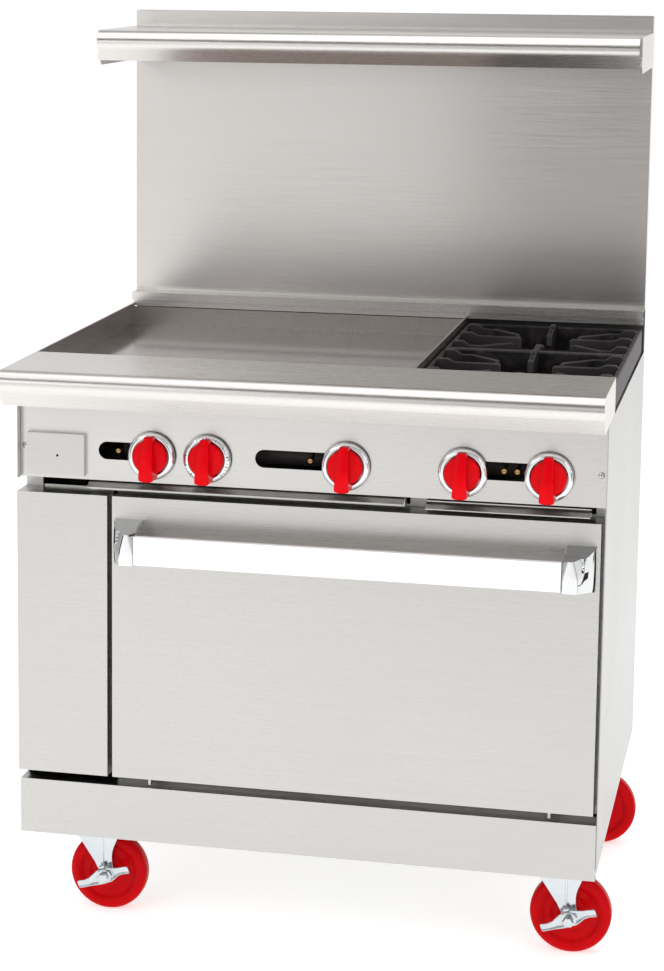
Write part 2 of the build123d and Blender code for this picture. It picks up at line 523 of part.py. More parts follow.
VALVE_REAR = MANIFOLD_Y - MANIFOLD_R - 0.2
PILOTS = (-299.0, 4.6, 301.0, 321.0)
with BuildPart() as gas_valves:
    for x in KNOBS.values():
        slab((x - 14, x + 14), (PANEL + 12, VALVE_REAR), (KNOB_Z - 16, KNOB_Z + 16))
    for x in PILOTS:
        rod("y", 4.5, (x, PANEL + 6, SLOT_Z - 1), VALVE_REAR - PANEL - 6)
save(gas_valves, "gas_valves")

for name, group in (("knob_bezels", [x for key, x in KNOBS.items() if key != "knob_thermostat"]),
                    ("thermostat_bezel", [KNOBS["knob_thermostat"]])):
    with BuildPart() as bezels:
        for x in group:
            rod("y", BEZEL_R, (x, PANEL - 6, KNOB_Z), 5.8)
            rod("y", BEZEL_R - 3.5, (x, PANEL - 12, KNOB_Z), 6)
            rod("y", 28.6, (x, PANEL - 13, KNOB_Z), 14, Mode.SUBTRACT)
    save(bezels, name)

KNOB_BACK = PANEL - 3.0
KNOB_DISC = PANEL - 24.0
KNOB_FRONT = PANEL - 43.0
GRIP_TOP = KNOB_Z + 34.0
GRIP_BOTTOM = KNOB_Z - 36.0
for name, x in KNOBS.items():
    with BuildPart() as knob:
        rod("y", 27.2, (x, KNOB_DISC, KNOB_Z), KNOB_BACK - KNOB_DISC)
        with BuildSketch(Plane.XZ.offset(-KNOB_DISC)):
            with BuildLine():
                Polyline((x - 8, GRIP_TOP), (x + 8, GRIP_TOP), (x + 12, GRIP_BOTTOM), (x - 12, GRIP_BOTTOM),
                         close=True)
            make_face()
        extrude(amount=KNOB_DISC - KNOB_FRONT)
        rod("y", STEM_R, (x, KNOB_BACK - 1, KNOB_Z), PANEL + 11.7 - KNOB_BACK)
    save(knob, name)

# ---------------------------------------------------------------- drawer and trays
DRAWER_FACE = PANEL - 10.0
with BuildPart() as grease_drawer:
    slab(DRAWER_X, (DRAWER_FACE, DRAWER_FACE + SHEET), (733, 798.5))
    for x in DRAWER_X:
        wall = (x, x + SHEET) if x == DRAWER_X[0] else (x - SHEET, x)
        slab(wall, (DRAWER_FACE, PANEL - 0.3), (733, 798.5))
    slab((DRAWER_X[0] + 8, DRAWER_X[1] - 8), (DRAWER_FACE + 1, PANEL + 262), (733, 789))
    slab((DRAWER_X[0] + 10, DRAWER_X[1] - 10), (DRAWER_FACE + SHEET, PANEL + 260), (735, 800), Mode.SUBTRACT)
    slab(DRAWER_X, (DRAWER_FACE, PANEL - 0.3), (797, 798.5))
    rod("y", 2, (-393, DRAWER_FACE - 1, 764), 4, Mode.SUBTRACT)
save(grease_drawer, "grease_drawer")

# Each tray is a shallow pan with a lip that slants down and forward over the top of the door.
TRAY_BOTTOM = 711.0
TRAY_TOP = 723.0
TRAY_FRONT = PANEL + 3.0
TRAY_REAR = 330.0
TRAYS = {"drip_tray": (-344.0, 152.0, 726.0), "crumb_tray": (186.0, 433.0, 722.0)}
for name, (left, right, lip_top) in TRAYS.items():
    with BuildPart() as tray:
        slab((left, right), (TRAY_FRONT, TRAY_REAR), (TRAY_BOTTOM, TRAY_TOP))
        slab((left + SHEET, right - SHEET), (TRAY_FRONT + SHEET, TRAY_REAR - SHEET),
             (TRAY_BOTTOM + SHEET, TRAY_TOP + 1), Mode.SUBTRACT)
        slab((left, right), (TRAY_FRONT, TRAY_FRONT + SHEET), (TRAY_BOTTOM, lip_top - 1))
        with BuildSketch(Plane.YZ.offset(left)):
            with BuildLine():
                Polyline((TRAY_FRONT + SHEET, lip_top), (FACE + 1, lip_top - 8), (FACE + 1, lip_top - 9.5),
                         (FACE + 2, lip_top - 9.5), (TRAY_FRONT + SHEET, lip_top - 1.5), close=True)
            make_face()
        extrude(amount=right - left)
    save(tray, name)

# ---------------------------------------------------------------- casters
with BuildPart() as caster_plates:
    for x, y, _ in CASTERS.values():
        slab((x - 48, x + 48), (y - 45, y + 45), (RACE_TOP + GAP, DECK))
        rod("z", 6, (x, y, CROWN_BOTTOM + 1), RACE_TOP + GAP - CROWN_BOTTOM - 1)
        for dx in (-36, 36):
            for dy in (-34, 34):
                rod("z", 6.5, (x + dx, y + dy, RACE_TOP + GAP - 6), 6)
save(caster_plates, "caster_plates")

LEG = 4.0
# The fork leg seen from the side, as distance from the axle towards the trailing side and height.
LEG_OUTLINE = [(-TRAIL - 32, CROWN_BOTTOM + 4), (21, CROWN_BOTTOM + 4), (19, 126), (12, 110), (9, 96), (9, 78),
               (13, WHEEL_R), (5, 51.5), (-5, 51.5), (-13, WHEEL_R), (-20, 82), (-48, 124)]
LEG_Y = WHEEL_W / 2 + 3.0
for corner, (x, y, way) in CASTERS.items():
    axle_x = x + way * TRAIL
    braked = corner.startswith("front")
    with BuildPart() as fork:
        rod("z", 28, (x, y, CROWN_BOTTOM + 3), RACE_TOP - CROWN_BOTTOM - 3)
        crown = sorted((x - way * 32, axle_x + way * 21))
        slab(crown, (y - LEG_Y - LEG, y + LEG_Y + LEG), (CROWN_BOTTOM, CROWN_BOTTOM + 4))
        for leg_y in (y - LEG_Y, y + LEG_Y + LEG):
            with BuildSketch(Plane.XZ.offset(-leg_y)):
                with BuildLine():
                    Polyline(*[(axle_x + way * dx, z) for dx, z in LEG_OUTLINE], close=True)
                make_face()
            extrude(amount=LEG)
        rod("z", 6.08, (x, y, CROWN_BOTTOM - 1), RACE_TOP - CROWN_BOTTOM + 2, Mode.SUBTRACT)
        front = y - LEG_Y - LEG - (22 if braked else 8)
        rod("y", AXLE_R, (axle_x, front, WHEEL_R), y + LEG_Y + LEG + 8 - front)
        rod("y", 10, (axle_x, front - 6, WHEEL_R), 6)
        rod("y", 10, (axle_x, y + LEG_Y + LEG, WHEEL_R), 8)
    save(fork, f"caster_fork_{corner}")

    with BuildPart() as wheel:
        rod("y", WHEEL_R, (axle_x, y - WHEEL_W / 2, WHEEL_R), WHEEL_W)
        for face_y in (y - WHEEL_W / 2 - 1, y + WHEEL_W / 2 - 4):
            rod("y", 47, (axle_x, face_y, WHEEL_R), 5, Mode.SUBTRACT)
        rod("y", 17, (axle_x, y - WHEEL_W / 2 - 0.5, WHEEL_R), WHEEL_W + 1)
        chamfer(wheel.edges().filter_by(GeomType.CIRCLE).sort_by(SortBy.RADIUS)[-2:], 3)
        rod("y", AXLE_R + 0.06, (axle_x, y - WHEEL_W, WHEEL_R), 2 * WHEEL_W, Mode.SUBTRACT)
    save(wheel, f"caster_wheel_{corner}")

    if braked:
        with BuildPart() as lever:
            hub_y = y - LEG_Y - LEG - 0.4
            rod("y", 14, (axle_x, hub_y - 20, WHEEL_R), 20)
            with Locations(Location((axle_x, hub_y - 10, WHEEL_R), (0, -20, 0))):
                Box(92, 14, 13)
            rod("y", AXLE_R + 0.06, (axle_x, hub_y - 30, WHEEL_R), 40, Mode.SUBTRACT)
        save(lever, f"brake_lever_{corner}")
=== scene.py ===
"""Looks for the commercial gas range: materials, detailed pieces, studio and camera round its frame.

Everything is in metres. The cook stands at -Y, and the floor is at Z = 0.
"""

import json
import math

import bmesh
import bpy
from mathutils import Matrix, Vector

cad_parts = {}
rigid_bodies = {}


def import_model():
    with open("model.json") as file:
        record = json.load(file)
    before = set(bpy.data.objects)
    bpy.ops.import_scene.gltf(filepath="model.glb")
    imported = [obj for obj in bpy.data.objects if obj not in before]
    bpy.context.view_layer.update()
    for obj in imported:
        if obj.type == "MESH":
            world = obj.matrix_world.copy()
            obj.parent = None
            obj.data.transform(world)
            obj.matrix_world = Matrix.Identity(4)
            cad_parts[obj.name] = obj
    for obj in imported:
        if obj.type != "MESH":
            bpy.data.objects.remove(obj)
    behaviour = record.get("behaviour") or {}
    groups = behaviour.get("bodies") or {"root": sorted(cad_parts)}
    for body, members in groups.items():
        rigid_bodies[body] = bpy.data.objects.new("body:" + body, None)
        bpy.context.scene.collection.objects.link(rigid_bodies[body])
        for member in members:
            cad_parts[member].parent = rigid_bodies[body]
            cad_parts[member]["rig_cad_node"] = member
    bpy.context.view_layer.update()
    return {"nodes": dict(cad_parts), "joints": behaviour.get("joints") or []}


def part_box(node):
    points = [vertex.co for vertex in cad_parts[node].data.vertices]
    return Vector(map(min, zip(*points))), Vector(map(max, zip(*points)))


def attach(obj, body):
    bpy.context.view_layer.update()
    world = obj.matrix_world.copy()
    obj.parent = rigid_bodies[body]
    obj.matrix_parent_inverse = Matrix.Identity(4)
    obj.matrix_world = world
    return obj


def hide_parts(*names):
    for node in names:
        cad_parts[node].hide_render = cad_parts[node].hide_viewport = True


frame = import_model()
NODES = frame["nodes"]
JOINTS = {j["name"]: j for j in frame["joints"]}
SCENE = bpy.context.scene
KNOBS = ("knob_griddle_left", "knob_thermostat", "knob_griddle_right",
         "knob_rear_burner", "knob_front_burner")
CORNERS = ("front_left", "front_right", "rear_left", "rear_right")
X, Y, Z = Vector((1, 0, 0)), Vector((0, 1, 0)), Vector((0, 0, 1))


# ---------------------------------------------------------------- material tools
class Paint:
    """One material's node tree, built step by step."""

    def __init__(self, name, **sockets):
        self.mat = bpy.data.materials.new(name)
        self.mat.use_nodes = True
        self.tree = self.mat.node_tree
        self.shader = self.tree.nodes["Principled BSDF"]
        self.place = self.node("ShaderNodeTexCoord").outputs["Object"]
        for key, value in sockets.items():
            self.shader.inputs[key.replace("_", " ")].default_value = value

    def node(self, kind, inputs=None, **props):
        made = self.tree.nodes.new(kind)
        for key, value in props.items():
            setattr(made, key, value)
        for key, value in (inputs or {}).items():
            if hasattr(value, "is_output"):
                self.tree.links.new(value, made.inputs[key])
            else:
                made.inputs[key].default_value = value
        return made

    def stretched(self, scale):
        """The object's own coordinates, per metre, stretched along each axis."""
        return self.node("ShaderNodeMapping", {"Vector": self.place, "Scale": scale}).outputs["Vector"]

    def noise(self, scale, detail=2.0, rough=0.5, distortion=0.0):
        """A cloud pattern; scale is one number or one for each axis, in waves per metre."""
        if not isinstance(scale, tuple):
            scale = (scale, scale, scale)
        inputs = {"Vector": self.stretched(scale), "Scale": 1.0, "Detail": detail,
                  "Roughness": rough, "Distortion": distortion}
        return self.node("ShaderNodeTexNoise", inputs).outputs["Fac"]

    def remap(self, value, low, high, to_low=0.0, to_high=1.0):
        return self.node("ShaderNodeMapRange", {"Value": value, "From Min": low, "From Max": high,
                                                "To Min": to_low, "To Max": to_high}).outputs["Result"]

    def math(self, operation, a, b):
        return self.node("ShaderNodeMath", {0: a, 1: b}, operation=operation).outputs["Value"]

    def blend(self, factor, a, b):
        """Colour a where factor is 0 and b where it is 1."""
        made = self.node("ShaderNodeMix", data_type="RGBA")
        for slot, value in ((0, factor), (6, a), (7, b)):
            if hasattr(value, "is_output"):
                self.tree.links.new(value, made.inputs[slot])
            else:
                made.inputs[slot].default_value = value if slot == 0 else (*value, 1.0)
        return made.outputs[2]

    def feed(self, socket, value):
        self.tree.links.new(value, self.shader.inputs[socket])

    def bump(self, height, strength, depth):
        made = self.node("ShaderNodeBump", {"Height": height, "Strength": strength, "Distance": depth})
        self.feed("Normal", made.outputs["Normal"])


# waves per metre along X, Y and Z of a fine and a broad set of streaks, for each brushing direction
STREAKS = {
    "x": ((9, 900, 900), (3, 420, 420)),
    "y": ((900, 9, 900), (420, 3, 420)),
}


def brushed(name, light, dark, along="x", rough=(0.24, 0.34), relief=0.05, spin=0.55, marks=0.0):
    """Brushed sheet steel: streaks along one axis, faint clouds of handling, and cooking stains if asked."""
    p = Paint(name, Metallic=1.0, Anisotropic=spin, Anisotropic_Rotation=0.25)
    fine, broad = STREAKS[along]
    streaks = p.noise(fine, 3.0, 0.65)
    bands = p.noise(broad, 2.0, 0.6)
    clouds = p.noise(2.2, 2.0, 0.5, 0.3)
    tone = p.math("ADD", p.math("MULTIPLY", streaks, 0.45), p.math("MULTIPLY", bands, 0.55))
    colour = p.blend(p.remap(tone, 0.35, 0.65), dark, light)
    if marks:
        stains = p.remap(p.noise(9.0, 6.0, 0.7, 1.2), 0.50, 0.72, 0.0, marks)
        colour = p.blend(stains, colour, tuple(c * 0.62 for c in dark))
    p.feed("Base Color", colour)
    dull = p.math("ADD", p.math("MULTIPLY", streaks, 0.6), p.math("MULTIPLY", clouds, 0.4))
    p.feed("Roughness", p.remap(dull, 0.3, 0.7, rough[0], rough[1]))
    p.bump(streaks, relief, 0.0002)
    return p.mat


def plated(name, colour, rough, wave, haze=0.5):
    """Smooth bright metal with faint haze, finger marks and a slow ripple."""
    p = Paint(name, Metallic=1.0)
    smears = p.remap(p.noise(60.0, 5.0, 0.65), 0.35, 0.7, 0.0, haze)
    p.feed("Base Color", p.blend(smears, colour, tuple(c * 0.86 for c in colour)))
    p.feed("Roughness", p.remap(p.noise(140.0, 3.0), 0.3, 0.7, rough, rough * 2.0))
    p.bump(p.noise(35.0, 1.0), wave, 0.002)
    return p.mat


def moulded(name, colour, deep, rough, coat, grain=900.0):
    """Glossy moulded plastic: slight mottling, fine orange-peel skin and a clear top gloss."""
    p = Paint(name, Coat_Weight=coat, Coat_Roughness=0.06, IOR=1.45, Specular_IOR_Level=0.05)
    p.feed("Base Color", p.blend(p.remap(p.noise(45.0, 3.0), 0.3, 0.7), colour, deep))
    p.feed("Roughness", p.remap(p.noise(130.0, 4.0, 0.7), 0.3, 0.7, rough, rough + 0.14))
    p.bump(p.noise(grain, 2.0), 0.05, 0.0003)
    return p.mat


def cast(name, colour, worn_and_highlight, rough, pits=420.0):
    """Sand-cast iron: grainy skin, shallow pits, rubbed patches, and sharp edges painted brighter, partly as
    rubbed wear and partly as a painted edge highlight.
    """
    p = Paint(name, Specular_IOR_Level=0.3)
    sand = p.noise(pits, 5.0, 0.75)
    rub = p.remap(p.noise(38.0, 5.0, 0.7), 0.46, 0.68)
    # painted highlight: the sharpest edges take the brighter worn tone, standing in for edge highlights as
    # well as for rubbing
    edge = p.remap(p.node("ShaderNodeNewGeometry").outputs["Pointiness"], 0.505, 0.56)
    wear_and_edge_highlight = p.math("MAXIMUM", p.math("MULTIPLY", rub, 0.45), edge)
    p.feed("Base Color", p.blend(wear_and_edge_highlight, colour, worn_and_highlight))
    p.feed("Metallic", p.remap(wear_and_edge_highlight, 0.0, 1.0, 0.15, 0.55))
    p.feed("Roughness", p.remap(sand, 0.3, 0.7, rough - 0.12, rough + 0.16))
    p.bump(p.math("ADD", sand, p.math("MULTIPLY", p.noise(110.0, 4.0), 0.8)), 0.55, 0.0008)
    return p.mat


def coated(name, colour, other, rough=0.5, skin=300.0, relief=0.2, metallic=0.0):
    """Painted, enamelled or mill-finish sheet: speckled tone and a fine uneven skin."""
    p = Paint(name, Metallic=metallic)
    speck = p.noise(skin, 4.0, 0.7)
    p.feed("Base Color", p.blend(p.remap(p.noise(14.0, 5.0, 0.65), 0.3, 0.7), colour, other))
    p.feed("Roughness", p.remap(speck, 0.3, 0.7, rough, min(rough + 0.18, 1.0)))
    p.bump(speck, relief, 0.0004)
    return p.mat


def woven(name, colour, other, pitch=260.0, relief=0.9):
    """Braided glass rope or wool: two crossing sets of ridges with loose fibres."""
    p = Paint(name, Roughness=0.95, Sheen_Weight=0.2)
    ridges = []
    for slope in ((1, 1, 1), (1, -1, 1)):
        at = p.stretched(tuple(pitch * s for s in slope))
        wave = {"Vector": at, "Scale": 1.0, "Distortion": 1.2, "Detail": 2.0}
        ridges.append(p.node("ShaderNodeTexWave", wave, bands_direction="DIAGONAL").outputs["Fac"])
    weave = p.math("MAXIMUM", *ridges)
    fibre = p.noise((900, 900, 300), 5.0, 0.8)
    p.feed("Base Color", p.blend(p.math("MULTIPLY", weave, fibre), other, colour))
    p.bump(p.math("ADD", weave, fibre), relief, 0.001)
    return p.mat


STEEL = brushed("stainless_front", (0.545, 0.535, 0.520), (0.520, 0.510, 0.495))
# painted shade: the side panels' copy of the stainless is darker than the front copy, for how dim the sides
# read; it is also brushed along Y
STEEL_SIDE_PAINTED_SHADE = brushed("stainless_side_painted_shade", (0.475, 0.472, 0.468), (0.452, 0.449, 0.445), "y", (0.26, 0.36))
# painted light: the control panel's copy of the stainless is lighter than the front copy, to offset the shade
# under the front ledge
STEEL_PANEL_PAINTED_LIGHT = brushed("stainless_panel_painted_light", (0.605, 0.594, 0.578), (0.580, 0.570, 0.554))
STEEL_DOOR = brushed("stainless_door", (0.545, 0.535, 0.520), (0.522, 0.512, 0.497))
# painted light: the riser's copy of the stainless is lighter than the front copy, for how bright the riser
# reads
STEEL_RISER_PAINTED_LIGHT = brushed("stainless_riser_painted_light", (0.620, 0.598, 0.580), (0.590, 0.568, 0.550), rough=(0.18, 0.28))
# painted light: the copy for the shelf, flue lip and front ledge is lighter than the front copy, for how
# bright these upward faces read
STEEL_TOP_PAINTED_LIGHT = brushed("stainless_top", (0.70, 0.68, 0.66), (0.67, 0.65, 0.63),
                    rough=(0.22, 0.32), relief=0.04, spin=0.2)
GRIDDLE = brushed("griddle_plate", (0.240, 0.200, 0.187), (0.177, 0.148, 0.136),
                  rough=(0.07, 0.13), relief=0.04, spin=0.2, marks=0.35)
SPLASH = brushed("griddle_splash", (0.50, 0.465, 0.45), (0.42, 0.385, 0.37), "y",
                 rough=(0.22, 0.34), relief=0.12, spin=0.2, marks=0.2)
SHEET = coated("mill_sheet", (0.56, 0.56, 0.55), (0.50, 0.50, 0.49), 0.34, 240.0, 0.10, 1.0)
WELL = coated("well_sheet", (0.42, 0.41, 0.40), (0.30, 0.29, 0.28), 0.36, 200.0, 0.15, 0.9)
# near-black for the oven flue and the oven burner, and painted shade in the burner ports
BLACK_STEEL_AND_PORT_SHADE = coated("black_steel", (0.018, 0.017, 0.016), (0.03, 0.028, 0.026), 0.55)
ENAMEL = coated("oven_enamel", (0.035, 0.037, 0.045), (0.06, 0.062, 0.07), 0.22, 420.0, 0.12)
# the second tone is rubbed wear and, on the sharp edges, a painted highlight
IRON = cast("cast_iron", (0.0075, 0.0060, 0.0062), (0.085, 0.075, 0.076), 0.46)
PIPE = cast("iron_pipe", (0.02, 0.02, 0.02), (0.08, 0.07, 0.07), 0.6, 260.0)
RED = moulded("knob_red", (0.74, 0.001, 0.006), (0.66, 0.001, 0.005), 0.16, 0.06)
WHEEL = moulded("wheel_red", (0.56, 0.001, 0.004), (0.49, 0.001, 0.003), 0.20, 0.04, 700.0)
CHROME = plated("chrome", (0.70, 0.71, 0.72), 0.03, 0.015, haze=0.25)
NICKEL = plated("nickel_wire", (0.74, 0.73, 0.70), 0.16, 0.1)
ZINC = plated("zinc", (0.60, 0.645, 0.670), 0.10, 0.30)
BRASS = plated("brass", (0.46, 0.27, 0.10), 0.20, 0.15, haze=0.8)
BAR = coated("handle_face", (0.96, 0.96, 0.96), (0.93, 0.93, 0.93), 0.28, 500.0, 0.05)
# near-black for the thermostat's printed ticks, and painted shade on the bezel skirts, in the screws' cross
# recesses and in the pilots' slits
DIAL_PRINT_AND_PAINTED_SHADE = coated("dial_print_and_painted_shade", (0.02, 0.02, 0.02), (0.03, 0.03, 0.03), 0.45)
GASKET = woven("door_rope", (0.30, 0.29, 0.27), (0.10, 0.10, 0.09))
WOOL = woven("mineral_wool", (0.62, 0.56, 0.42), (0.40, 0.35, 0.25), 90.0)


# ---------------------------------------------------------------- mesh tools
def middle(node):
    low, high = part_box(node)
    return (low + high) / 2


def circle(steps):
    """Evenly spaced angles round a full turn."""
    return [2 * math.pi * i / steps for i in range(steps)]


def hoop(bm, at, u, v, radius, steps):
    """A ring of new mesh points round a centre."""
    return [bm.verts.new(at + (u * math.cos(a) + v * math.sin(a)) * radius) for a in circle(steps)]


def basis(axis):
    """Two directions square to an axis."""
    side = axis.cross(Z if abs(axis.z) < 0.9 else X).normalized()
    return side, axis.cross(side).normalized()


def bridge(bm, rings, paint=0, loop=False):
    """Joins neighbouring rings of points with faces, and closes the ends unless it is a loop."""
    pairs = list(zip(rings, rings[1:])) + ([(rings[-1], rings[0])] if loop else [])
    for a, b in pairs:
        count = max(len(a), len(b))
        for i in range(count):
            j = (i + 1) % count
            corners = [a[i % len(a)], a[j % len(a)], b[j % len(b)], b[i % len(b)]]
            corners = list(dict.fromkeys(corners))
            if len(corners) > 2:
                bm.faces.new(corners).material_index = paint
    if not loop:
        for ring, flip in ((rings[0], True), (rings[-1], False)):
            if len(ring) > 2:
                bm.faces.new(ring[::-1] if flip else ring).material_index = paint


def turned(bm, profile, origin, axis, steps=64, paint=0):
    """Revolves (radius, height) points round an axis. A radius of 0 closes the form at a point."""
    u, v = basis(axis)
    rings = []
    for radius, height in profile:
        at = origin + axis * height
        rings.append(hoop(bm, at, u, v, radius, steps) if radius else [bm.verts.new(at)])
    bridge(bm, rings, paint)


def turned_ring(bm, profile, origin, axis, steps=64, paint=0):
    """Revolves a closed outline of (radius, height) points, as for a hollow ring."""
    u, v = basis(axis)
    rings = [hoop(bm, origin + axis * height, u, v, radius, steps) for radius, height in profile]
    bridge(bm, rings, paint, loop=True)


def prism(bm, outline, origin, u, v, depth, paint=0):
    """Pushes a flat outline of (u, v) points along a depth vector."""
    near = [bm.verts.new(origin + u * a + v * b) for a, b in outline]
    far = [bm.verts.new(p.co + depth) for p in near]
    bridge(bm, [near, far], paint)


def rectangle(half_u, half_v):
    return [(-half_u, -half_v), (half_u, -half_v), (half_u, half_v), (-half_u, half_v)]


def lofted(bm, sections, paint=0):
    """Skins a list of rings of points, all with the same count."""
    bridge(bm, [[bm.verts.new(p) for p in section] for section in sections], paint)


def tube(bm, points, radius, steps=10, loop=False, paint=0):
    """A round bar along a line of points."""
    rings = []
    for i, at in enumerate(points):
        before = points[i - 1] if i or loop else at
        after = points[(i + 1) % len(points)] if i + 1 < len(points) or loop else at
        way = (after - before).normalized()
        u = way.cross(Z if abs(way.z) < 0.9 else Y).normalized()
        rings.append(hoop(bm, at, u, way.cross(u).normalized(), radius, steps))
    bridge(bm, rings, paint, loop)


def rounded(width, height, radius, steps=5):
    """A rounded rectangle as (u, v) points about its middle."""
    points = []
    for qx, qy, start in ((1, 1, 0), (-1, 1, 90), (-1, -1, 180), (1, -1, 270)):
        for i in range(steps + 1):
            a = math.radians(start + 90 * i / steps)
            points.append((qx * (width / 2 - radius) + radius * math.cos(a),
                           qy * (height / 2 - radius) + radius * math.sin(a)))
    return points


def soften(obj, width, segments=2, angle=30.0):
    """Rounds an object's sharp edges a little, and shades a new piece smooth between them."""
    mesh = obj.data
    if not obj.get("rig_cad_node"):
        mesh.shade_smooth()
        mesh.set_sharp_from_angle(angle=math.radians(angle + 6))
    if width:
        cut = obj.modifiers.new("edge", "BEVEL")
        cut.width = width
        cut.segments = segments
        cut.limit_method = "ANGLE"
        cut.angle_limit = math.radians(angle)
        cut.harden_normals = True
        cut.use_clamp_overlap = True


def linked(name, bm):
    """Puts finished mesh code into the scene as an object."""
    mesh = bpy.data.meshes.new(name)
    bm.to_mesh(mesh)
    bm.free()
    obj = bpy.data.objects.new(name, mesh)
    SCENE.collection.objects.link(obj)
    return obj


def piece(name, bm, body, paints, node, edge=0.0004, segments=2, angle=30.0):
    """Turns finished mesh code into a named piece that rides on a body and stands for a CAD node."""
    bmesh.ops.remove_doubles(bm, verts=bm.verts, dist=1e-7)
    bmesh.ops.recalc_face_normals(bm, faces=bm.faces)
    obj = linked(name, bm)
    for paint in paints:
        obj.data.materials.append(paint)
    soften(obj, edge, segments, angle)
    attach(obj, body)
    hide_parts(node)


# ---------------------------------------------------------------- carried-over CAD nodes
LOOKS = {
    STEEL: ("kick_panel", "left_front_panel", "grease_drawer", "drip_tray", "crumb_tray", "hinge_arms"),
    STEEL_DOOR: ("door_outer_panel",),
    STEEL_PANEL_PAINTED_LIGHT: ("control_panel",),
    STEEL_SIDE_PAINTED_SHADE: ("side_panel_left", "side_panel_right"),
    STEEL_RISER_PAINTED_LIGHT: ("backguard",),
    STEEL_TOP_PAINTED_LIGHT: ("high_shelf", "flue_lip", "front_ledge"),
    GRIDDLE: ("griddle_plate",),
    SPLASH: ("griddle_splash", "grease_trough"),
    SHEET: ("back_panel", "base_pan", "oven_face_frame", "door_inner_liner", "hinge_receivers",
            "griddle_burners", "thermostat_bulb"),
    WELL: ("burner_well",),
    BLACK_STEEL_AND_PORT_SHADE: ("oven_flue", "oven_burner"),
    ENAMEL: ("oven_liner", "oven_floor", "rack_guides"),
    PIPE: ("gas_manifold",),
    NICKEL: ("oven_rack",),
    ZINC: ("caster_plates",),
    BAR: ("handle_bar",),
    WOOL: ("oven_insulation", "door_insulation"),
}
EDGES = {
    0.0015: ("handle_bar",),
    0.0010: ("kick_panel", "left_front_panel", "door_outer_panel", "griddle_plate"),
    0.0008: ("side_panel_left", "side_panel_right", "backguard", "grease_drawer", "caster_plates"),
    0.0006: ("griddle_splash", "flue_lip"),
    0.0004: ("grease_trough", "oven_floor", "oven_liner"),
}
ROUNDED = {node: width for width, names in EDGES.items() for node in names}
for look, names in LOOKS.items():
    for node in names:
        obj = NODES[node]
        obj.data.materials.clear()
        obj.data.materials.append(look)
        soften(obj, ROUNDED.get(node, 0.0))

# ---------------------------------------------------------------- knobs
STEM_R, STEM_BACK = 0.004, -0.014
DISC = [(0.0264, 0.0), (0.0270, 0.0012), (0.0271, 0.0120), (0.0268, 0.0150), (0.0256, 0.0166),
        (0.0225, 0.0178), (0.0150, 0.0188), (0.0, 0.0192)]
DISC_BACK = 0.003
GRIP_ROOT = 0.006
GRIP_TOP, GRIP_LENGTH = 0.0335, 0.069
GRIP_HALF, GRIP_SPREAD = 0.0070, 0.0048


def knob(node):
    """A round knob with a wedge-shaped grip that ends in an upright face below, and its valve stem behind."""
    spin = JOINTS[node + "_turn"]["pos_m"]
    at = Vector((spin[0], spin[1] - DISC_BACK, spin[2]))
    front = at.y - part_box(node)[0].y
    bm = bmesh.new()
    turned(bm, [(0.0, STEM_BACK), (STEM_R, STEM_BACK), (STEM_R, 0.0)] + DISC, at, -Y, 72)
    # the grip seen from the side, as (height, distance from the back), from its top round to its lower end
    side = [(0.0325, GRIP_ROOT), (GRIP_TOP, 0.0190), (0.0325, 0.0225), (0.0290, 0.0245), (0.0150, 0.0300),
            (0.0010, 0.0365), (-0.0055, 0.0392), (-0.0085, front - 0.0002), (-0.0200, front),
            (-0.0310, front - 0.0006), (-0.0345, front - 0.0030), (-0.0357, front - 0.0070),
            (-0.0358, 0.0260), (-0.0345, 0.0150), (-0.0300, GRIP_ROOT)]
    rows = []
    for share in (-1.0, -0.94, -0.8, -0.4, 0.0, 0.4, 0.8, 0.94, 1.0):
        crown = 1.0 - 0.04 * abs(share) ** 6
        row = []
        for z, rise in side:
            wide = GRIP_HALF + GRIP_SPREAD * (GRIP_TOP - z) / GRIP_LENGTH - (0.0016 if z < -0.0352 else 0.0)
            corner = 0.0014 * abs(share) ** 4 if z < -0.030 else 0.0
            out = GRIP_ROOT + (rise - GRIP_ROOT) * crown
            row.append(at + X * share * wide + Z * (z * crown + corner) - Y * out)
        rows.append(row)
    lofted(bm, rows)
    piece(node + "_moulding", bm, node, [RED], node, 0.0007, 3, 34.0)


for node in KNOBS:
    knob(node)

# ---------------------------------------------------------------- chrome bezels
PANEL_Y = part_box("control_panel")[0].y
BEZEL_BORE = 0.0287
BEZEL = [(BEZEL_BORE, 0.0056), (0.0370, 0.0056), (0.0375, 0.0060), (0.0375, 0.0068), (0.0371, 0.0082),
         (0.0362, 0.0094), (0.0345, 0.0106), (0.0322, 0.0115), (0.0302, 0.0118), (0.0292, 0.0116),
         (BEZEL_BORE, 0.0108)]
# the skirt between ring and panel is painted near-black: painted shade on the bezel's side wall
SHADE_SKIRT = [(BEZEL_BORE, 0.0005), (0.0368, 0.0005), (0.0371, 0.0010), (0.0371, 0.0055), (BEZEL_BORE, 0.0055)]
TICKS, DIAL_SWEEP = 31, 270
LONG_TICK, SHORT_TICK = (0.0312, 0.0006), (0.0325, 0.0003)
TICK_DEPTH = 0.001


def dial_ticks(bm, at):
    """Dark marks that lie on the bezel's crown, every third one longer and bolder."""
    for i in range(TICKS):
        a = math.radians(DIAL_SWEEP * (i / (TICKS - 1) - 0.5))
        out = X * math.sin(a) + Z * math.cos(a)
        along = X * math.cos(a) - Z * math.sin(a)
        inner, wide = SHORT_TICK if i % 3 else LONG_TICK
        rows = [[at + out * r + along * w - Y * y for w in (-wide, wide)] +
                [at + out * r + along * w - Y * (y - TICK_DEPTH) for w in (wide, -wide)]
                for r, y in ((inner, 0.01178), (0.0335, 0.01136), (0.0350, 0.01072))]
        lofted(bm, rows, 1)


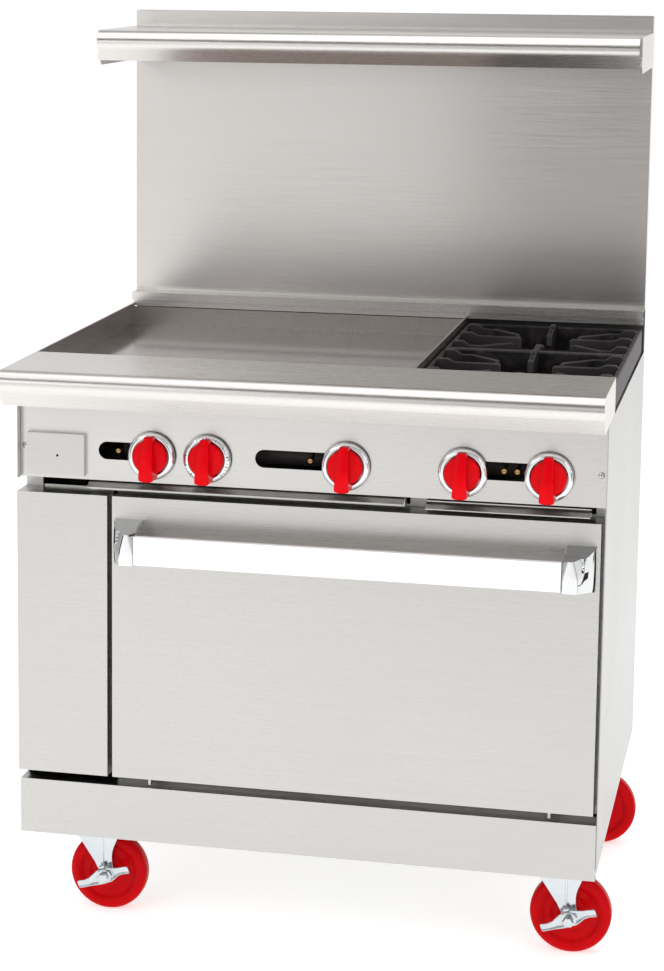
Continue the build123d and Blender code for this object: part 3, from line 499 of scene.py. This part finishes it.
def bezels(node, members):
    """Domed chrome rings, one round each knob, each on a skirt painted dark as shade between the ring and the
    panel.
    """
    bm = bmesh.new()
    for member in members:
        at = Vector(JOINTS[member + "_turn"]["pos_m"])
        at.y = PANEL_Y
        # painted shade: the skirt takes the near-black
        turned_ring(bm, SHADE_SKIRT, at, -Y, 96, 1)
        turned_ring(bm, BEZEL, at, -Y, 96)
        if member == "knob_thermostat":
            dial_ticks(bm, at)
    piece(node + "_rings", bm, "cabinet", [CHROME, DIAL_PRINT_AND_PAINTED_SHADE], node, 0.0, 1, 24.0)


bezels("knob_bezels", [n for n in KNOBS if n != "knob_thermostat"])
bezels("thermostat_bezel", ["knob_thermostat"])

# ---------------------------------------------------------------- panel screws
SCREW_R = 0.0048
SCREW = [(0.0, -0.009), (0.002, -0.009), (0.002, 0.0002), (0.0046, 0.0002), (0.0047, 0.0010),
         (0.0040, 0.0019), (0.0024, 0.0025), (0.0, 0.0026)]


def panel_screws():
    """Round-headed screws, each with a cross recess painted on as dark shade."""
    low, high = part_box("panel_screws")
    bm = bmesh.new()
    for x in (low.x + SCREW_R, high.x - SCREW_R):
        at = Vector((x, PANEL_Y, (low.z + high.z) / 2))
        turned(bm, SCREW, at, -Y, 32)
        # painted shade: the cross recess is two thin dark bars laid on the head
        for u, v in ((X, Z), (Z, X)):
            prism(bm, rectangle(0.0030, 0.00045), at - Y * 0.0022, u, v, -Y * 0.0005, 1)
    piece("panel_screw_heads", bm, "cabinet", [CHROME, DIAL_PRINT_AND_PAINTED_SHADE], "panel_screws", 0.0)


panel_screws()

# ---------------------------------------------------------------- valves and pilots behind the panel
PILOT_Z = 0.773
GRIDDLE_PILOTS, BURNER_PILOTS = (-0.299, 0.0046), (0.301, 0.321)
PILOT = [(0.0, 0.0), (0.0036, 0.0), (0.0044, 0.0008), (0.0044, 0.006), (0.0036, 0.0062), (0.0036, 0.009),
         (0.0042, 0.0095), (0.0042, 0.016), (0.0, 0.016)]
# (distance behind the pilot's face, height above it) along its feed tube
PILOT_TUBE = ((0.012, 0.0), (0.020, 0.0), (0.026, 0.004), (0.03, 0.012))
VALVE_HALF_W, VALVE_HALF_H = 0.013, 0.014
VALVE_FRONT, VALVE_BACK = 0.012, 0.004
NUT_THICK = 0.006
VALVE_COLLAR = [(0.010, 0.0), (0.010, NUT_THICK), (0.0, NUT_THICK)]
VALVE_NUT = [(0.0, 0.0), (0.0095, 0.0), (0.0105, 0.001), (0.0105, NUT_THICK), (0.0, NUT_THICK)]


def valves():
    """Brass valve bodies, each with a hexagon nut and a collar, and the pilots with their feed tubes."""
    low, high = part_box("gas_valves")
    bm = bmesh.new()
    for member in KNOBS:
        x, _, z = JOINTS[member + "_turn"]["pos_m"]
        back = high.y - VALVE_BACK
        front = Vector((x, low.y + VALVE_FRONT, z))
        body = [(x - VALVE_HALF_W, front.y), (x + VALVE_HALF_W, front.y), (x + VALVE_HALF_W, back),
                (x - VALVE_HALF_W, back)]
        prism(bm, body, Z * (z - VALVE_HALF_H), X, Y, Z * 2 * VALVE_HALF_H)
        turned(bm, VALVE_NUT, Vector((x, high.y - NUT_THICK, z)), Y, 6)
        turned(bm, VALVE_COLLAR, front, Y, 24)
    for x in GRIDDLE_PILOTS + BURNER_PILOTS:
        at = Vector((x, low.y, PILOT_Z))
        turned(bm, PILOT, at, Y, 6 if x in GRIDDLE_PILOTS else 24)
        # painted shade: a thin dark bar on the pilot's face stands for its opening
        prism(bm, rectangle(0.0028, 0.0005), at, X, Z, -Y * 0.00004, 1)
        tube(bm, [at + Y * y + Z * z for y, z in PILOT_TUBE], 0.0026, 12)
    piece("gas_valve_bodies", bm, "cabinet", [BRASS, DIAL_PRINT_AND_PAINTED_SHADE], "gas_valves", 0.0005)


valves()

# ---------------------------------------------------------------- door handle ends
NOSE_HALF, FLARE_MARGIN = 0.0246, 0.0003
NOSE_INSET = 0.0215
CUT = 0.0068


def handle_ends():
    """A chromed casting at each end of the bar: a faceted nose that flares back to the door."""
    low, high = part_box("handle_brackets")
    bar_low, bar_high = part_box("handle_bar")
    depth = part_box("door_outer_panel")[0].y - low.y
    centre = (low.z + high.z) / 2
    flare = (high.z - low.z) / 2 - NOSE_HALF - FLARE_MARGIN
    bm = bmesh.new()
    for side, outer, inner in ((-1, low.x, bar_low.x), (1, high.x, bar_high.x)):
        width = abs(outer - inner)
        nose = width - NOSE_INSET
        rows = []
        for t in (-1.0, -0.9, -0.6, -0.3, 0.0, 0.2, 0.4, 0.6, 0.8, 0.93, 1.0):
            # both front corners carry a cut facet that widens towards the top
            cut = CUT * max(0.0, t + 0.1) / 1.1
            belly = 0.0016 * (1 - t * t)
            plan = [(width - 0.0004, depth), (width - 0.003 + belly, depth * 0.80),
                    (width - 0.009 + belly, depth * 0.52), (nose + 0.0052 + belly, depth * 0.24),
                    (nose + 0.0012 + belly, 0.0085 + 1.3 * cut), (nose - 0.0016 - cut, 0.0016),
                    (nose - 0.006 - cut, 0.0), (0.0056 + cut, 0.0), (0.0022 + cut, 0.0010),
                    (0.0002, 0.0040 + 1.3 * cut), (0.0, 0.020), (0.0028, depth * 0.55), (0.0008, depth)]
            row = []
            for away, back in plan:
                half = NOSE_HALF + flare * (back / depth) ** 1.25
                row.append(Vector((inner + side * away, low.y + back, centre + half * t)))
            rows.append(row)
        lofted(bm, rows)
    piece("handle_end_castings", bm, "oven_door", [CHROME], "handle_brackets", 0.0011, 3, 24.0)


handle_ends()

# ---------------------------------------------------------------- oven door rope gasket
ROPE_INSET, ROPE_BEND = 0.006, 0.018


def rope_gasket():
    """One closed loop of rope round the door's liner."""
    low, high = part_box("door_gasket")
    at = middle("door_gasket")
    path = rounded(high.x - low.x - 2 * ROPE_INSET, high.z - low.z - 2 * ROPE_INSET, ROPE_BEND, 8)
    bm = bmesh.new()
    tube(bm, [at + X * x + Z * z for x, z in path], (high.y - low.y) / 2 * 0.98, 12, loop=True)
    piece("door_rope_gasket", bm, "oven_door", [GASKET], "door_gasket", 0.0, 1, 60.0)


rope_gasket()

# ---------------------------------------------------------------- cast grates
RIM = 0.009
RIM_DROP, RIM_RISE = 0.006, 0.005
# (height above the foot, half width) up one of the four feet
POST = ((0.0, 0.0078), (0.0015, 0.0086), (RIM_RISE + 0.003, 0.0094))
POST_INSET, POST_CORNER = 0.0105, 0.003
FINGER_SPREAD, FINGER_TIP_SPREAD = 0.093, 0.046
FINGER_HALF, MIDRIB_HALF = 0.0040, 0.0046
# how far from the burner's middle the fingers and the middle ribs end
OUTER_TIP, MIDDLE_TIP, MIDRIB_END = 0.050, 0.041, 0.058
# (share of the way in, height above the foot, drop below the top) along a middle rib, from rim to tip
MIDRIB = ((0.0, 0.010, 0.006), (0.06, 0.008, 0.001), (0.12, 0.008, 0.0), (0.42, 0.010, 0.0),
          (0.52, 0.011, 0.0045), (0.72, 0.014, 0.0045), (0.80, 0.018, 0.008), (0.97, 0.022, 0.008),
          (1.0, 0.024, 0.011))


def web(bm, path, half):
    """A cast plate on edge along a path of (x, y, low z, top z), with its upper edges eased."""
    ease = half * 0.35
    flat = [Vector((x, y, 0)) for x, y, _, _ in path]
    sections = []
    for i, (x, y, low_z, top_z) in enumerate(path):
        way = (flat[min(i + 1, len(path) - 1)] - flat[max(i - 1, 0)]).normalized()
        across = way.cross(Z)
        outline = ((-half * 0.8, low_z), (-half, low_z + ease), (-half, top_z - ease), (-half + ease, top_z),
                   (half - ease, top_z), (half, top_z - ease), (half, low_z + ease), (half * 0.8, low_z))
        sections.append([Vector((x, y, z)) + across * off for off, z in outline])
    lofted(bm, sections)


def grate_rim(bm, low, high):
    """A square rim between two corners, with eased upper edges and a sloped inner face."""
    rings = []
    for inset, z in ((0.0008, low.z), (0.0, low.z + 0.001), (0.0, high.z - 0.002), (0.0014, high.z),
                     (RIM - 0.0014, high.z), (RIM, high.z - 0.002), (RIM - 0.002, low.z)):
        rings.append([bm.verts.new(p) for p in (
            (low.x + inset, low.y + inset, z), (high.x - inset, low.y + inset, z),
            (high.x - inset, high.y - inset, z), (low.x + inset, high.y - inset, z))])
    bridge(bm, rings, loop=True)


def finger(bm, root, way_in, lean, foot, top):
    """A finger that leaves the rim square to it; lean turns an outer one (-1 or 1) in to the burner."""
    dip = 0.0078 if lean else 0.0055
    # (share of the lean, share of the way in, height above the foot, drop below the top)
    stations = ((0.0, 0.0, 0.010, 0.006), (0.0, 0.04, 0.006, 0.001), (0.0, 0.07, 0.005, 0.0),
                (0.0, 0.20, 0.006, 0.0), (0.0, 0.31, 0.008, dip), (0.0, 0.5, 0.011, dip),
                (0.35, 0.67, 0.014, dip), (0.94, 0.97, 0.022, dip), (1.0, 1.0, 0.026, dip + 0.003))
    path = []
    for turn, share, lift, drop in stations:
        sideways = FINGER_SPREAD + (FINGER_TIP_SPREAD - FINGER_SPREAD) * turn
        path.append((root.x + way_in * share, root.y + lean * sideways, foot + lift, top - drop))
    web(bm, path, FINGER_HALF)


def grate(node):
    """A square rim on four feet, three fingers from either side and a rib from the front and the back."""
    low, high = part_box(node)
    centre = middle(node)
    half_x, half_y = (high.x - low.x) / 2, (high.y - low.y) / 2
    top, foot = high.z, low.z
    bm = bmesh.new()
    grate_rim(bm, low + Z * RIM_RISE, high - Z * RIM_DROP)
    for sx in (-1, 1):
        for sy in (-1, 1):
            x, y = centre.x + sx * (half_x - POST_INSET), centre.y + sy * (half_y - POST_INSET)
            lofted(bm, [[Vector((x + u, y + v, foot + z))
                         for u, v in rounded(2 * half, 2 * half, POST_CORNER, 3)] for z, half in POST])
    span = half_x - RIM * 0.5
    for side in (-1, 1):
        for lean in (-1, 0, 1):
            tip_in = OUTER_TIP if lean else MIDDLE_TIP
            finger(bm, centre + X * side * span, side * (tip_in - span), lean, foot, top)
    reach = half_y - RIM * 0.5 - MIDRIB_END
    for end in (-1, 1):
        edge_y = centre.y + end * (half_y - RIM * 0.5)
        web(bm, [(centre.x, edge_y - end * reach * share, foot + lift, top - drop)
                 for share, lift, drop in MIDRIB], MIDRIB_HALF)
    piece(node + "_casting", bm, node, [IRON], node, 0.0006, 2, 28.0)


for node in ("grate_front", "grate_rear"):
    grate(node)

# ---------------------------------------------------------------- burner heads
BURNER = [(0.0, 0.0), (0.026, 0.0), (0.030, 0.004), (0.031, 0.016), (0.046, 0.021), (0.050, 0.024),
          (0.050, 0.031), (0.0485, 0.0325), (0.044, 0.0325), (0.044, 0.034), (0.0475, 0.036), (0.0470, 0.039),
          (0.042, 0.0415), (0.020, 0.0420), (0.016, 0.0405), (0.014, 0.034), (0.0, 0.033)]
PORTS = 36
PORT = [(-0.0014, 0.0252), (0.0014, 0.0252), (0.0014, 0.0300), (-0.0014, 0.0300)]
PORT_RADIUS = 0.0492
FEED_R, FEED_RISE = 0.0088, 0.009


def burners():
    """Two open burners: a turned head with a raised cap and a row of ports painted on as dark shade, on a
    bent feed pipe.
    """
    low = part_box("burner_heads")[0]
    bm = bmesh.new()
    for over, feed in (("grate_front", "knob_front_burner"), ("grate_rear", "knob_rear_burner")):
        centre = middle(over)
        at = Vector((centre.x, centre.y, low.z))
        turned(bm, BURNER, at, Z, 72)
        # painted shade: each port is a thin dark patch on the head's side
        for a in circle(PORTS):
            out = Vector((math.cos(a), math.sin(a), 0))
            side = Vector((-math.sin(a), math.cos(a), 0))
            prism(bm, PORT, at + out * PORT_RADIUS, side, Z, out * 0.0006, 1)
        feed_x = JOINTS[feed + "_turn"]["pos_m"][0]
        route = ((feed_x, low.y + 0.006), (feed_x, centre.y - 0.050),
                 (feed_x + (centre.x - feed_x) * 0.35, centre.y - 0.015), (centre.x, centre.y))
        tube(bm, [Vector((x, y, low.z + FEED_RISE)) for x, y in route], FEED_R, 20)
    piece("burner_castings", bm, "cabinet", [IRON, BLACK_STEEL_AND_PORT_SHADE], "burner_heads", 0.0005)


burners()

# ---------------------------------------------------------------- casters
AXLE_BORE, BOLT_R = 0.0061, 0.0060
HUB_HALF = 0.0160
# one half of the wheel's section as (radius, distance from its middle plane), from the hub to the tread
WHEEL_SECTION = [(0.0168, 0.0158), (0.0200, 0.0158), (0.0225, 0.0135), (0.0260, 0.0122),
                 (0.0290, 0.0122), (0.0310, 0.0130), (0.0330, 0.0124), (0.0400, 0.0112), (0.0435, 0.0116),
                 (0.0452, 0.0136), (0.0480, 0.0156), (0.0510, 0.0160), (0.0560, 0.0152), (0.0605, 0.0132),
                 (0.0628, 0.0100), (0.0635, 0.0060)]
CROWN = [(0.026, 0.0), (0.0275, 0.002), (0.0275, 0.008), (0.0255, 0.010), (0.0255, 0.0120),
         (0.0270, 0.014), (0.0270, 0.0185), (0.0255, 0.0200), (0.0, 0.0200)]
CROWN_Z, YOKE_Z, YOKE_THICK = 0.1320, 0.1322, 0.0036
YOKE_LENGTH, YOKE_WIDTH, YOKE_SHIFT = 0.0905, 0.046, 0.01375
LEG_Y, LEG_THICK, LEG_EASE = 0.0190, 0.0040, 0.0006
LEG_LAYERS = ((0.0, LEG_EASE), (LEG_EASE, 0.0), (LEG_THICK - LEG_EASE, 0.0), (LEG_THICK, LEG_EASE))
LEG_MID_X, LEG_MID_Z, LEG_SQUARE_Z = -0.006, 0.095, 0.13
AXLE_Z, LEG_HUB_R = 0.0635, 0.0130
# a leg's side outline as (distance past the axle, going away from the kingpin, and height)
LEG_FRONT = [(-0.0700, 0.1358), (0.0205, 0.1358), (0.0195, 0.1260), (0.0158, 0.1165), (0.0122, 0.1080),
             (0.0100, 0.1000), (0.0090, 0.0920), (0.0095, 0.0800), (0.0115, 0.0710)]
LEG_HUB = [(LEG_HUB_R * math.cos(math.radians(a)), AXLE_Z + LEG_HUB_R * math.sin(math.radians(a)))
           for a in range(10, -191, -20)]
LEG_REAR = [(-0.0150, 0.0720), (-0.0200, 0.0820), (-0.0480, 0.1240)]
BOLT_HEAD = [(0.0, 0.0), (0.0070, 0.0), (0.0092, 0.0012), (0.0092, 0.0058), (0.0, 0.0058)]
AXLE_NUT = [(0.0, 0.0), (0.0092, 0.0), (0.0092, 0.0052), (0.0076, 0.0066), (0.0, 0.0066)]


def wheel(corner, axle):
    """A moulded wheel: a raised hub, a dished web with a ring, and a rounded tread kept above the floor."""
    node = f"caster_wheel_{corner}"
    near = [(AXLE_BORE, HUB_HALF)] + WHEEL_SECTION
    bm = bmesh.new()
    turned_ring(bm, near + [(r, -h) for r, h in reversed(near)], axle, -Y, 96)
    for v in bm.verts:
        v.co.z = max(v.co.z, 0.0)
    piece(node + "_tread", bm, f"wheel_{corner}", [WHEEL], node, 0.0, 1, 40.0)


def fork(corner, axle, pivot):
    """A caster fork: a turned crown on a yoke plate, two ribbed legs, the axle bolt and its nut."""
    node = f"caster_fork_{corner}"
    low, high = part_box(node)
    way = 1 if axle.x > pivot.x else -1
    bm = bmesh.new()
    turned(bm, CROWN, Vector((pivot.x, pivot.y, CROWN_Z)), Z, 48)
    prism(bm, rounded(YOKE_LENGTH, YOKE_WIDTH, 0.006), Vector((pivot.x + way * YOKE_SHIFT, pivot.y, YOKE_Z)),
          X, Y, Z * YOKE_THICK)
    mid_x = axle.x + way * LEG_MID_X
    for face in (-1, 1):
        plane_y = pivot.y + face * LEG_Y
        outline = [(axle.x + way * x, z) for x, z in LEG_FRONT + LEG_HUB + LEG_REAR]
        rows = []
        for depth, inset in LEG_LAYERS:
            row = []
            for x, z in outline:
                in_x = inset if x > mid_x else -inset
                in_z = inset if z > LEG_MID_Z else -inset
                if z > LEG_SQUARE_Z:
                    in_z = 0.0
                row.append(Vector((x - in_x, plane_y + face * depth, z - in_z)))
            rows.append(row)
        lofted(bm, rows)
        rib_y = plane_y + face * (LEG_THICK - 0.0004)
        tube(bm, [Vector((mid_x, rib_y, z)) for z in (0.132, 0.106, 0.080)], 0.0022, 8)
    bolt_length = high.y - low.y - 0.002
    bolt = [(0.0, 0.0), (BOLT_R - 0.0002, 0.0), (BOLT_R, 0.0008), (BOLT_R, bolt_length), (0.0, bolt_length)]
    turned(bm, bolt, Vector((axle.x, low.y, axle.z)), Y, 24)
    turned(bm, BOLT_HEAD, Vector((axle.x, low.y + 0.0002, axle.z)), Y, 6)
    turned(bm, AXLE_NUT, Vector((axle.x, pivot.y + LEG_Y + LEG_THICK, axle.z)), Y, 6)
    piece(node + "_pressing", bm, f"caster_{corner}", [ZINC], node, 0.0005)


LEVER_HUB = [(0.0, 0.0), (0.0132, 0.0), (0.0138, 0.0012), (0.0130, 0.0120), (0.0118, 0.0150),
             (0.0092, 0.0160), (0.0070, 0.0160), (0.0066, 0.0164), (0.0064, 0.0186), (0.0052, 0.0198),
             (0.0, 0.0199)]
LEVER_TILT = math.radians(18)
WING_LENGTH = 0.0448
# (share of the length, half width, rise, distance from the hub's back) along a wing
WING = ((0.0, 0.0125, 0.0, 0.0100), (0.22, 0.0120, 0.0004, 0.0110), (0.38, 0.0096, 0.0016, 0.0125),
        (0.55, 0.0068, 0.0030, 0.0140), (0.75, 0.0060, 0.0034, 0.0150), (0.94, 0.0062, 0.0026, 0.0155),
        (1.0, 0.0052, 0.0020, 0.0155))
FOLD_AT, FOLD_WIDTH, FOLD_DEPTH = -0.58, 0.14, 0.0020
CLAMP_BOLT = [(0.0, -0.006), (0.0030, -0.006), (0.0030, 0.0), (0.0048, 0.0), (0.0048, 0.0034),
              (0.0040, 0.0044), (0.0, 0.0044)]


def wing_section(spine, upward, wide):
    """A flattened oval with a folded line along the lower part of its front."""
    section = []
    for a in circle(48):
        up, face = math.cos(a), math.sin(a)
        fold = FOLD_DEPTH * math.exp(-((up - FOLD_AT) / FOLD_WIDTH) ** 2) if face > 0 else 0.0
        section.append(spine + upward * wide * up - Y * (0.0034 * face + 0.0022 * up ** 2 - fold))
    return section


def brake_lever(corner, axle):
    """The brake lever: two wings that curve away from a hub, with a clamp bolt above it."""
    node = f"brake_lever_{corner}"
    at = Vector((axle.x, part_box(node)[1].y, axle.z))
    along = X * math.cos(LEVER_TILT) + Z * math.sin(LEVER_TILT)
    upward = Z * math.cos(LEVER_TILT) - X * math.sin(LEVER_TILT)
    bm = bmesh.new()
    turned(bm, LEVER_HUB, at, -Y, 40)
    for side in (-1, 1):
        lofted(bm, [wing_section(at + along * side * WING_LENGTH * t + upward * (rise * side) - Y * out,
                                 upward, wide) for t, wide, rise, out in WING])
    clamp = at + upward * 0.0128 - Y * 0.0085
    turned(bm, CLAMP_BOLT, clamp, upward, 6)
    tube(bm, [clamp + X * x - upward * 0.0004 for x in (-0.0075, 0.0075)], 0.0016, 8)
    piece(node + "_casting", bm, node, [ZINC], node, 0.0004, 2, 34.0)


for corner in CORNERS:
    axle = Vector(JOINTS[f"wheel_{corner}_spin"]["pos_m"])
    pivot = Vector(JOINTS[f"caster_{corner}_swivel"]["pos_m"])
    wheel(corner, axle)
    fork(corner, axle, pivot)
    if corner.startswith("front"):
        brake_lever(corner, axle)


# ---------------------------------------------------------------- studio
def studio_floor():
    """A wide pale floor that glows a little, so that it reads white."""
    bm = bmesh.new()
    bmesh.ops.create_grid(bm, x_segments=24, y_segments=24, size=30.0)
    obj = linked("studio_floor", bm)
    look = Paint("studio_floor", Roughness=0.9, Specular_IOR_Level=0.1, Emission_Strength=0.50,
                 Emission_Color=(1.0, 1.0, 1.0, 1.0))
    look.feed("Base Color", look.blend(look.noise(0.6, 2.0), (0.90, 0.90, 0.90), (0.94, 0.94, 0.94)))
    obj.data.materials.append(look.mat)


def backdrop():
    """A white horizon that falls to grey overhead."""
    world = bpy.data.worlds.new("studio")
    SCENE.world = world
    world.use_nodes = True
    tree = world.node_tree
    background = tree.nodes["Background"]
    where = tree.nodes.new("ShaderNodeTexCoord")
    split = tree.nodes.new("ShaderNodeSeparateXYZ")
    ramp = tree.nodes.new("ShaderNodeValToRGB")
    tree.links.new(where.outputs["Generated"], split.inputs["Vector"])
    tree.links.new(split.outputs["Z"], ramp.inputs["Fac"])
    tree.links.new(ramp.outputs["Color"], background.inputs["Color"])
    stops = ((0.0, (1.02, 1.02, 1.02, 1)), (0.75, (0.50, 0.49, 0.48, 1)))
    for element, (height, colour) in zip(ramp.color_ramp.elements, stops):
        element.position = height
        element.color = colour
    background.inputs["Strength"].default_value = 1.0


def softbox(name, at, aim, width, height, power):
    """A rectangular light of so many watts, aimed at a point."""
    light = bpy.data.lights.new(name, "AREA")
    light.shape = "RECTANGLE"
    light.size, light.size_y = width, height
    light.energy = power
    obj = bpy.data.objects.new(name, light)
    obj.location = at
    obj.rotation_mode = "QUATERNION"
    obj.rotation_quaternion = (Vector(aim) - Vector(at)).to_track_quat("-Z", "Y")
    SCENE.collection.objects.link(obj)


def flag(name, low, high, tone):
    """A studio card between two corners that only shows as a reflection, to darken parts of bright metal."""
    low, high = Vector(low), Vector(high)
    bm = bmesh.new()
    corners = [low, Vector((high.x, high.y, low.z)), high, Vector((low.x, low.y, high.z))]
    bm.faces.new([bm.verts.new(p) for p in corners])
    obj = linked(name, bm)
    look = Paint(name, Roughness=1.0, Specular_IOR_Level=0.0, Emission_Strength=tone,
                 Emission_Color=(1, 0.98, 0.97, 1))
    look.feed("Base Color", look.blend(look.noise(3.0), (0.01, 0.01, 0.01), (0.02, 0.02, 0.02)))
    obj.data.materials.append(look.mat)
    obj.visible_camera = obj.visible_shadow = obj.visible_diffuse = False


CARD_X, CARD_TOP, CARD_TONE = 2.4, 2.3, 0.02
CARD_RUNS = ((-2.6, -1.8), (-0.9, -0.3), (0.5, 1.2), (2.0, 2.6))

studio_floor()
backdrop()
softbox("key", (-2.6, -3.4, 3.6), (0, 0, 0.7), 3.8, 3.8, 62)
softbox("fill", (3.4, -3.0, 2.2), (0.2, 0, 0.7), 2.4, 2.8, 26)
softbox("top", (0.2, -0.2, 4.2), (0, 0, 0), 4.4, 3.6, 60)
flag("flag_back", (-0.86, -7.0, 0.0), (0.9, -7.0, 1.7), 0.30)
flag("flag_over", (-2.0, -2.6, 2.1), (2.2, -2.6, 3.7), 0.04)
# a row of narrow cards down either side gives the chrome its dark stripes and leaves brushed sheet even
for side, label in ((-1, "left"), (1, "right")):
    for i, (near, far) in enumerate(CARD_RUNS):
        flag(f"flag_{label}_{i}", (side * CARD_X, near, 0.0), (side * CARD_X, far, CARD_TOP), CARD_TONE)

# ---------------------------------------------------------------- camera at the photograph's viewing angle
# place, turn (radians) and focal length in sensor widths, fitted to the corners seen in the photograph
CAMERA_AT = Vector((0.7426, -3.97413, 1.54578))
YAW, PITCH, ROLL = 0.22906, 0.15134, 0.00657
FOCAL_SHARE = 2.5806
SENSOR = 36.0
SHIFT_X, SHIFT_Y = 0.10, -0.16


def photograph_camera():
    camera = bpy.data.cameras.new("camera")
    camera.sensor_width = SENSOR
    camera.lens = SENSOR * FOCAL_SHARE
    camera.shift_x, camera.shift_y = SHIFT_X, SHIFT_Y
    camera.clip_start, camera.clip_end = 0.05, 200.0
    obj = bpy.data.objects.new("camera", camera)
    forward = Vector((-math.sin(YAW) * math.cos(PITCH), math.cos(YAW) * math.cos(PITCH), -math.sin(PITCH)))
    level = Vector((math.cos(YAW), math.sin(YAW), 0.0))
    over = level.cross(forward)
    right = level * math.cos(ROLL) + over * math.sin(ROLL)
    upright = over * math.cos(ROLL) - level * math.sin(ROLL)
    pose = Matrix((right, upright, -forward)).transposed().to_4x4()
    pose.translation = CAMERA_AT
    obj.matrix_world = pose
    SCENE.collection.objects.link(obj)
    SCENE.camera = obj


photograph_camera()
SCENE.view_settings.view_transform = "Standard"
